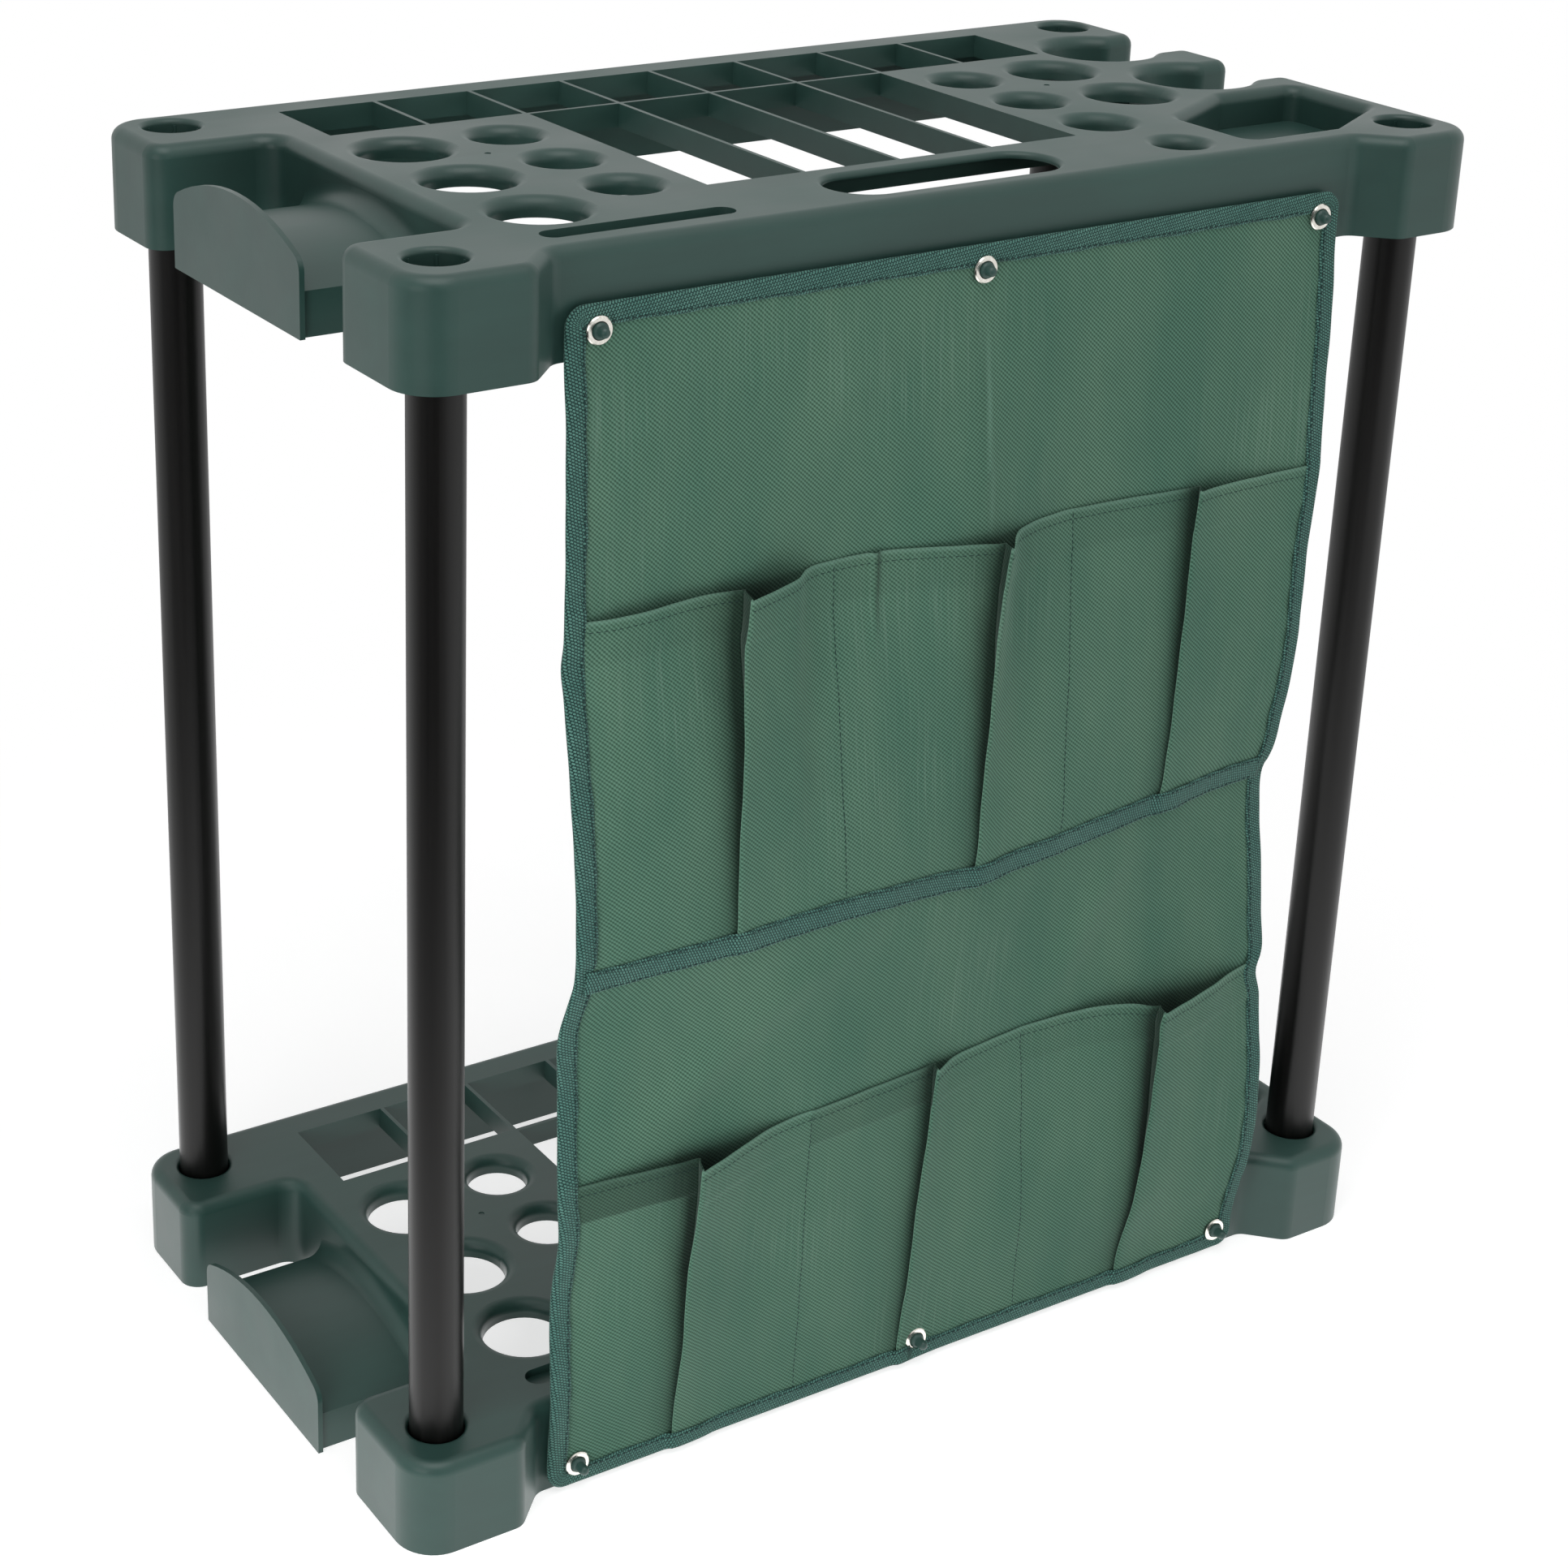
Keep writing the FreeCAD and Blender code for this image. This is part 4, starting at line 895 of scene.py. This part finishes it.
def edge_path():
    """Points round the panel's outline from the middle of the foot, each with its inward direction."""
    left, right = FLAT_LEFT + CORNER, FLAT_RIGHT - CORNER
    foot, head = FLAT_FOOT + CORNER, FLAT_HEAD - CORNER
    sides = [((0.0, FLAT_FOOT), (right, FLAT_FOOT), (0, 1)),
             ((FLAT_RIGHT, foot), (FLAT_RIGHT, head), (-1, 0)),
             ((right, FLAT_HEAD), (left, FLAT_HEAD), (0, -1)),
             ((FLAT_LEFT, head), (FLAT_LEFT, foot), (1, 0)),
             ((left, FLAT_FOOT), (0.0, FLAT_FOOT), (0, 1))]
    corners = [((right, foot), -90), ((right, head), 0), ((left, head), 90), ((left, foot), 180)]
    points = []
    for i, (start, end, inward) in enumerate(sides):
        count = int(math.dist(start, end) / EDGE_STEP)
        for k in range(count):
            x, z = (blend(a, b, k / count) for a, b in zip(start, end))
            points.append((x, z, *inward))
        if i < len(corners):
            (centre_x, centre_z), angle = corners[i]
            for k in range(CORNER_STEPS):
                turn = math.radians(angle + 90 * k / CORNER_STEPS)
                points.append((centre_x + CORNER * math.cos(turn), centre_z + CORNER * math.sin(turn),
                               -math.cos(turn), -math.sin(turn)))
    return points


def make_edge_binding(tape):
    """Tape folded over the whole outline."""
    widths = lengths_along(TAPE_SECTION)
    outline = edge_path()
    rows, flat = [], []
    for (x, z, in_x, in_z), along in zip(outline, lengths_along([point[:2] for point in outline])):
        wobble = 0.25 * math.sin(along * 0.21) + 0.2 * math.sin(along * 0.093 + 2.0)
        lift_wave = 0.1 * math.sin(along * 0.37 + 1.0)
        turning = abs(in_x * in_z) > 1e-6
        row = []
        for inset, lift in TAPE_SECTION:
            depth = (min(inset, CORNER - 0.6) if turning else inset) + (wobble if inset > 7.0 else 0.0)
            place = (x + in_x * depth, z + in_z * depth)
            if lift > 0.0:
                lift += under_tape(*place) * min(1.0, inset / 1.6) + lift_wave * min(1.0, inset / 3.0)
            row.append(hang(*place, lift))
        rows.append(row)
        flat.append([(along, width) for width in widths])
    piece = grid_piece("edge_binding", rows, flat, closed=True)
    thicken(piece, TAPE_THICKNESS, 1.0)
    finish_piece(piece, tape)
    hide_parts("top_binding", "bottom_binding", "left_binding", "right_binding")
    return piece


def make_middle_tape(tape):
    """The flat tape sewn over the foot of the upper pockets."""
    columns = spread(FLAT_LEFT + 4, FLAT_RIGHT - 4, MIDDLE_COLUMNS)
    rows, flat = [], []
    for down, section_lift in MIDDLE_SECTION:
        lifts = [section_lift + under_middle(x) + 0.1 * math.sin(x * 0.4) for x in columns]
        rows.append([hang(x, curve_at(MIDDLE_LINE, x) + down, lift) for x, lift in zip(columns, lifts)])
        flat.append([(x, down) for x in columns])
    piece = grid_piece("middle_tape", rows, flat)
    thicken(piece, MIDDLE_THICKNESS, -1.0)
    finish_piece(piece, tape)
    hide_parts("middle_binding")
    return piece


# Stitches: how far out their threads lie on the front of each seam, and on its back

EDGE_SEAM_INSET = TAPE_WIDTH - 1.2
EDGE_SEAM_LIFT, EDGE_SEAM_BACK = 1.0, -1.75
MIDDLE_SEAMS = (-4.5, 4.5)
MIDDLE_SEAM_LIFT, BACK_SEAM_LIFT = 0.95, -0.95
DIVIDER_LIFT, HEM_SEAM_LIFT = 0.35, 0.4
HEM_SEAM_DOWN = 5.0


def stitch_form():
    """One stitch: a short thread bead, thinner at its ends, 1 long and 1 thick."""
    deselect()
    bpy.ops.mesh.primitive_uv_sphere_add(segments=6, ring_count=5, radius=0.5, location=(0, 0, 0))
    bead = bpy.context.object
    bpy.ops.object.mode_set(mode="EDIT")
    bpy.ops.mesh.select_all(action="SELECT")
    bpy.ops.transform.rotate(value=math.pi / 2, orient_axis="Y", center_override=(0, 0, 0))
    bpy.ops.object.mode_set(mode="OBJECT")
    points = [v.co.copy() for v in bead.data.vertices]
    faces = [tuple(p.vertices) for p in bead.data.polygons]
    bpy.data.objects.remove(bead)
    return points, faces


def stitch_places(line, pitch):
    """Evenly spaced places along a line of points, each with the direction there."""
    places = []
    travelled = 0.0
    due = pitch / 2
    for a, b in zip(line, line[1:]):
        a, b = Vector(a), Vector(b)
        step = (b - a).length
        while step > 1e-6 and travelled + step >= due:
            places.append((a.lerp(b, (due - travelled) / step), (b - a).normalized()))
            due += pitch
        travelled += step
    return places


def sew(name, lines, thread, form, pitch, length, thick):
    """Stitches along lines of points in mm."""
    bead, bead_faces = form
    points, faces = [], []
    for line in lines:
        for place, ahead in stitch_places(line, pitch):
            side = ahead.cross(Vector((0, -1, 0))).normalized()
            up = side.cross(ahead)
            turn = Matrix((ahead * length, side * thick, up * thick)).transposed()
            start = len(points)
            points.extend(place + turn @ point for point in bead)
            faces.extend(tuple(start + i for i in face) for face in bead_faces)
    return finish_piece(mesh_piece(name, points, faces), thread)


def edge_seams():
    """The seam lines of the edge tape, on its front and its back."""
    outline = edge_path()
    front, back = [], []
    for x, z, in_x, in_z in outline + outline[:1]:
        place = (x + in_x * EDGE_SEAM_INSET, z + in_z * EDGE_SEAM_INSET)
        front.append(hang(*place, EDGE_SEAM_LIFT + under_tape(*place)))
        back.append(hang(*place, EDGE_SEAM_BACK))
    return [front, back]


def middle_seams():
    """The two seam lines of the middle tape, each on the front and the back."""
    columns = spread(FLAT_LEFT + 9, FLAT_RIGHT - 9, 140)
    lines = []
    for down in MIDDLE_SEAMS:
        places = [(x, curve_at(MIDDLE_LINE, x) + down) for x in columns]
        lines.append([hang(x, z, MIDDLE_SEAM_LIFT + under_middle(x)) for x, z in places])
        lines.append([hang(x, z, BACK_SEAM_LIFT) for x, z in places])
    return lines


def divider_seams(strip):
    """The upright seam lines between a strip's pockets, each on the front and the back."""
    lines = []
    for pocket in strip["pockets"][:2]:
        front, back = [], []
        for rise in spread(0.02, 0.985, 60):
            place = seams_at(pocket, rise)[1]
            x, y, z = pocket_point(strip, pocket, place, SEAM_OUT + DIVIDER_LIFT, rise)
            front.append((x, y, z))
            back.append((x, hang(place, z, BACK_SEAM_LIFT)[1], z))
        lines += [front, back]
    return lines


def hem_seams(strip):
    """The seam lines of a strip's hem, broken at each pleat."""
    rise = 1.0 - HEM_SEAM_DOWN / (strip["mouth"] - strip["foot"])
    lines = []
    for pocket in strip["pockets"]:
        path = strip_path(pocket, rise)
        turn, fold = fold_steps(pocket)
        for part in (path[:turn], path[fold + CREST_SPANS[0]:]):
            lines.append([pocket_point(strip, pocket, x, out + HEM_SEAM_LIFT, rise) for x, out in part])
    return lines


def make_stitches(thread):
    """Every row of stitches on the panel."""
    form = stitch_form()
    dividers = divider_seams(UPPER) + divider_seams(LOWER)
    hems = hem_seams(UPPER) + hem_seams(LOWER)
    return [sew("edge_stitches", edge_seams(), thread, form, pitch=3.1, length=2.0, thick=0.95),
            sew("middle_stitches", middle_seams(), thread, form, pitch=3.1, length=2.0, thick=0.8),
            sew("divider_stitches", dividers, thread, form, pitch=3.2, length=2.3, thick=0.5),
            sew("hem_stitches", hems, thread, form, pitch=3.4, length=2.2, thick=0.4)]


# The pegs' round tips, which stand out through the eyelets

PEG_RADIUS = 3.0
PEG_START = 0.5
PEG_REACH = {EYELET_FOOT: 9.0, EYELET_HEAD: 7.0}
PEG_TAPER = 0.7
PEG_ROUND = 2.0


def make_peg_tip(number, x, z, plastic):
    """A tapered peg tip from inside its eyelet to its rounded end."""
    reach = PEG_REACH[z]
    tip = add_rod(x, BACKING_FRONT - PEG_START - reach / 2, z, PEG_RADIUS, reach, sides=32)
    tip.name = f"peg_tip_{number}"
    bpy.ops.object.transform_apply(location=True, rotation=True, scale=True)
    bpy.ops.object.mode_set(mode="EDIT")
    bpy.ops.mesh.select_all(action="DESELECT")
    bpy.ops.object.mode_set(mode="OBJECT")
    foremost = min(v.co.y for v in tip.data.vertices)
    for corner in tip.data.vertices:
        corner.select = corner.co.y < foremost + 0.1 * MM
    bpy.ops.object.mode_set(mode="EDIT")
    bpy.ops.transform.resize(value=(PEG_TAPER, 1.0, PEG_TAPER), center_override=(x * MM, foremost, z * MM))
    bpy.ops.object.mode_set(mode="OBJECT")
    round_end = tip.modifiers.new("Round", "BEVEL")
    round_end.width = PEG_ROUND * MM
    round_end.segments = 4
    round_end.limit_method = "ANGLE"
    apply_modifiers(tip)
    smooth_faces(tip.data)
    return finish_piece(tip, plastic, "root")


# The studio, in metres. What gloss shows is dark behind the camera and bright elsewhere.

DARK_SIDE = (-0.766, -0.643, 0.0)
DARK_BEGINS, DARK_FULL, DARK_STRENGTH = 0.45, 0.97, 0.04
FLOOR_SIZE = 40.0
FLOOR_MATTE, FLOOR_PALE = 0.55, 0.8
FLOOR_GLOW, FLOOR_GLOSS = 0.7, 1.4
FADE_BEGINS, FADE_ENDS = 0.4, 0.9
AROUND_STRENGTH = 0.28

CAMERA_PLACE = (-0.8228, -1.15975, 0.9242)
CAMERA_AZIMUTH, CAMERA_ELEVATION, CAMERA_ROLL = -31.749, 20.9752, 1.1418
CAMERA_SENSOR, CAMERA_LENS = 36.0, 70.85
CAMERA_SHIFT = (0.1184, -0.1421)


def studio_side(tree, direction):
    """How bright the studio is in a direction, as gloss shows it."""
    towards = node(tree, "VectorMath", "Vector", direction, operation="NORMALIZE")
    match = node(tree, "VectorMath", "Value", towards, DARK_SIDE, operation="DOT_PRODUCT")
    return node(tree, "MapRange", "Result", Value=match, From_Min=DARK_BEGINS, From_Max=DARK_FULL,
                To_Min=1.0, To_Max=DARK_STRENGTH, interpolation_type="SMOOTHSTEP")


def for_gloss(tree, seen, plain, glossy):
    """A strength that is one value for the camera and another, or a (node, output) pair, for gloss."""
    mix = tree.nodes.new("ShaderNodeMix")
    mix.data_type = "FLOAT"
    for socket, value in zip((MIX_AMOUNT, *MIX_NUMBERS), ((seen, "Is Glossy Ray"), plain, glossy)):
        feed(tree, mix.inputs[socket], value)
    return mix, MIXED_NUMBER


def seen_by(tree, seen, *rays):
    """1 for light paths of the named kinds, and 0 for all others."""
    either = (seen, rays[0])
    for ray in rays[1:]:
        either = node(tree, "Math", "Value", either, (seen, ray), operation="MAXIMUM")
    return either


def floor_material():
    """A pale floor that gets its shadow near the rack and fades to white further off."""
    material = bpy.data.materials.new("studio_floor")
    material.use_nodes = True
    tree = material.node_tree
    tree.nodes.clear()
    seen = tree.nodes.new("ShaderNodeLightPath")
    place = node(tree, "TexCoord", "Object")
    matte = node(tree, "BsdfDiffuse", "BSDF", Color=grey(FLOOR_MATTE))
    glow = node(tree, "Emission", "Emission", Color=WHITE,
                Strength=for_gloss(tree, seen, FLOOR_GLOW, FLOOR_GLOSS))
    near = node(tree, "AddShader", "Shader", matte, glow)
    white = node(tree, "Emission", "Emission", Color=WHITE,
                 Strength=for_gloss(tree, seen, 1.0, studio_side(tree, place)))
    reach = node(tree, "VectorMath", "Value", place, operation="LENGTH")
    fade = node(tree, "MapRange", "Result", Value=reach, From_Min=FADE_BEGINS, From_Max=FADE_ENDS)
    shown = node(tree, "MixShader", "Shader", fade, near, white)
    pale = node(tree, "BsdfDiffuse", "BSDF", Color=grey(FLOOR_PALE))
    looked_at = seen_by(tree, seen, "Is Camera Ray", "Is Glossy Ray")
    node(tree, "OutputMaterial", None, Surface=node(tree, "MixShader", "Shader", looked_at, pale, shown))
    return material


def make_floor():
    """A plain pale floor that fades into the white behind it and keeps the rack's shadow."""
    deselect()
    bpy.ops.mesh.primitive_plane_add(size=FLOOR_SIZE, location=(0, 0, 0))
    floor = bpy.context.object
    floor.name = "studio_floor"
    floor.data.materials.append(floor_material())


def make_world():
    """White behind the rack, and an even soft light from all round."""
    world = bpy.data.worlds.new("studio")
    bpy.context.scene.world = world
    world.use_nodes = True
    tree = world.node_tree
    tree.nodes.clear()
    seen = tree.nodes.new("ShaderNodeLightPath")
    side = studio_side(tree, node(tree, "TexCoord", "Generated"))
    white = node(tree, "Background", "Background", Color=WHITE, Strength=for_gloss(tree, seen, 1.0, side))
    light = node(tree, "Background", "Background", Color=WHITE, Strength=AROUND_STRENGTH)
    looked_at = seen_by(tree, seen, "Is Camera Ray", "Is Glossy Ray", "Is Transmission Ray")
    node(tree, "OutputWorld", None, Surface=node(tree, "MixShader", "Shader", looked_at, light, white))


def add_lamp(name, place, aim, size, power, gloss=True):
    """A square soft lamp, out of the camera's sight, with or without its reflection in glossy surfaces."""
    lamp = bpy.data.lights.new(name, "AREA")
    lamp.shape = "SQUARE"
    lamp.size = size
    lamp.energy = power
    holder = bpy.data.objects.new(name, lamp)
    bpy.context.scene.collection.objects.link(holder)
    holder.location = place
    holder.rotation_euler = (Vector(aim) - Vector(place)).to_track_quat("-Z", "Y").to_euler()
    holder.visible_camera = False
    holder.visible_glossy = gloss


def make_camera():
    """The photograph's viewpoint."""
    azimuth, elevation, roll = (math.radians(a) for a in (CAMERA_AZIMUTH, CAMERA_ELEVATION, CAMERA_ROLL))
    back = Vector((math.sin(azimuth) * math.cos(elevation), -math.cos(azimuth) * math.cos(elevation),
                   math.sin(elevation)))
    level = (-back).cross(Vector((0, 0, 1))).normalized()
    upright = level.cross(-back)
    right = math.cos(roll) * level + math.sin(roll) * upright
    up = math.cos(roll) * upright - math.sin(roll) * level
    lens = bpy.data.cameras.new("photo_camera")
    lens.sensor_width = CAMERA_SENSOR
    lens.lens = CAMERA_LENS
    lens.shift_x, lens.shift_y = CAMERA_SHIFT
    lens.clip_start = 0.01
    lens.clip_end = 100.0
    camera = bpy.data.objects.new("photo_camera", lens)
    bpy.context.scene.collection.objects.link(camera)
    turn = Matrix((right, up, back)).transposed().to_4x4()
    camera.matrix_world = Matrix.Translation(CAMERA_PLACE) @ turn
    bpy.context.scene.camera = camera


def dress(piece, material):
    """Gives a CAD piece its material."""
    slots = piece.material_slots
    for slot in slots:
        slot.material = material
    if not slots:
        piece.data.materials.append(material)


# Making everything

make_camera()
plastic = moulded_plastic()
paint = tube_paint()
nickel = bright_nickel()
cloth = woven("panel_cloth", CLOTH, cloth_threads, CLOTH_TURN, roughness=0.8, bump=0.5, marked=True)
tape = woven("binding_tape", TAPE, tape_threads, TAPE_TURN, roughness=0.7, bump=0.7)
thread = sewing_thread()

for name, piece in nodes.items():
    if name.endswith("_rack"):
        dress(piece, plastic)
    elif name.endswith("_tube"):
        dress(piece, paint)
    elif "eyelet" in name:
        dress(piece, nickel)

backing = make_backing(cloth)
binding = make_edge_binding(tape)
upper, upper_length = make_strip("upper_pocket_strip", UPPER, cloth, "upper_pockets")
lower, lower_length = make_strip("lower_pocket_strip", LOWER, cloth, "lower_pockets")
middle = make_middle_tape(tape)
punch_eyelets(backing, EYELETS)
punch_eyelets(binding, EYELETS)
punch_eyelets(lower, [(x, z) for x, z in EYELETS if z == EYELET_FOOT])
stitches = make_stitches(thread)
for number, (x, z) in enumerate(EYELETS, 1):
    make_peg_tip(number, x, z, plastic)

make_floor()
make_world()
add_lamp("overhead_softbox", (-0.4, -0.6, 2.3), (0.0, 0.0, 0.3), size=1.6, power=20.0)
add_lamp("right_softbox", (1.7, -1.5, 0.8), (0.0, 0.0, 0.25), size=0.9, power=11.0, gloss=False)
add_lamp("left_softbox", (-2.0, -1.0, 0.9), (0.0, 0.0, 0.2), size=1.2, power=8.5)
add_lamp("low_softbox", (-0.85, -0.6, 0.12), (-0.1, -0.14, 0.12), size=0.5, power=5.0, gloss=False)
bpy.context.scene.view_settings.view_transform = "Standard"
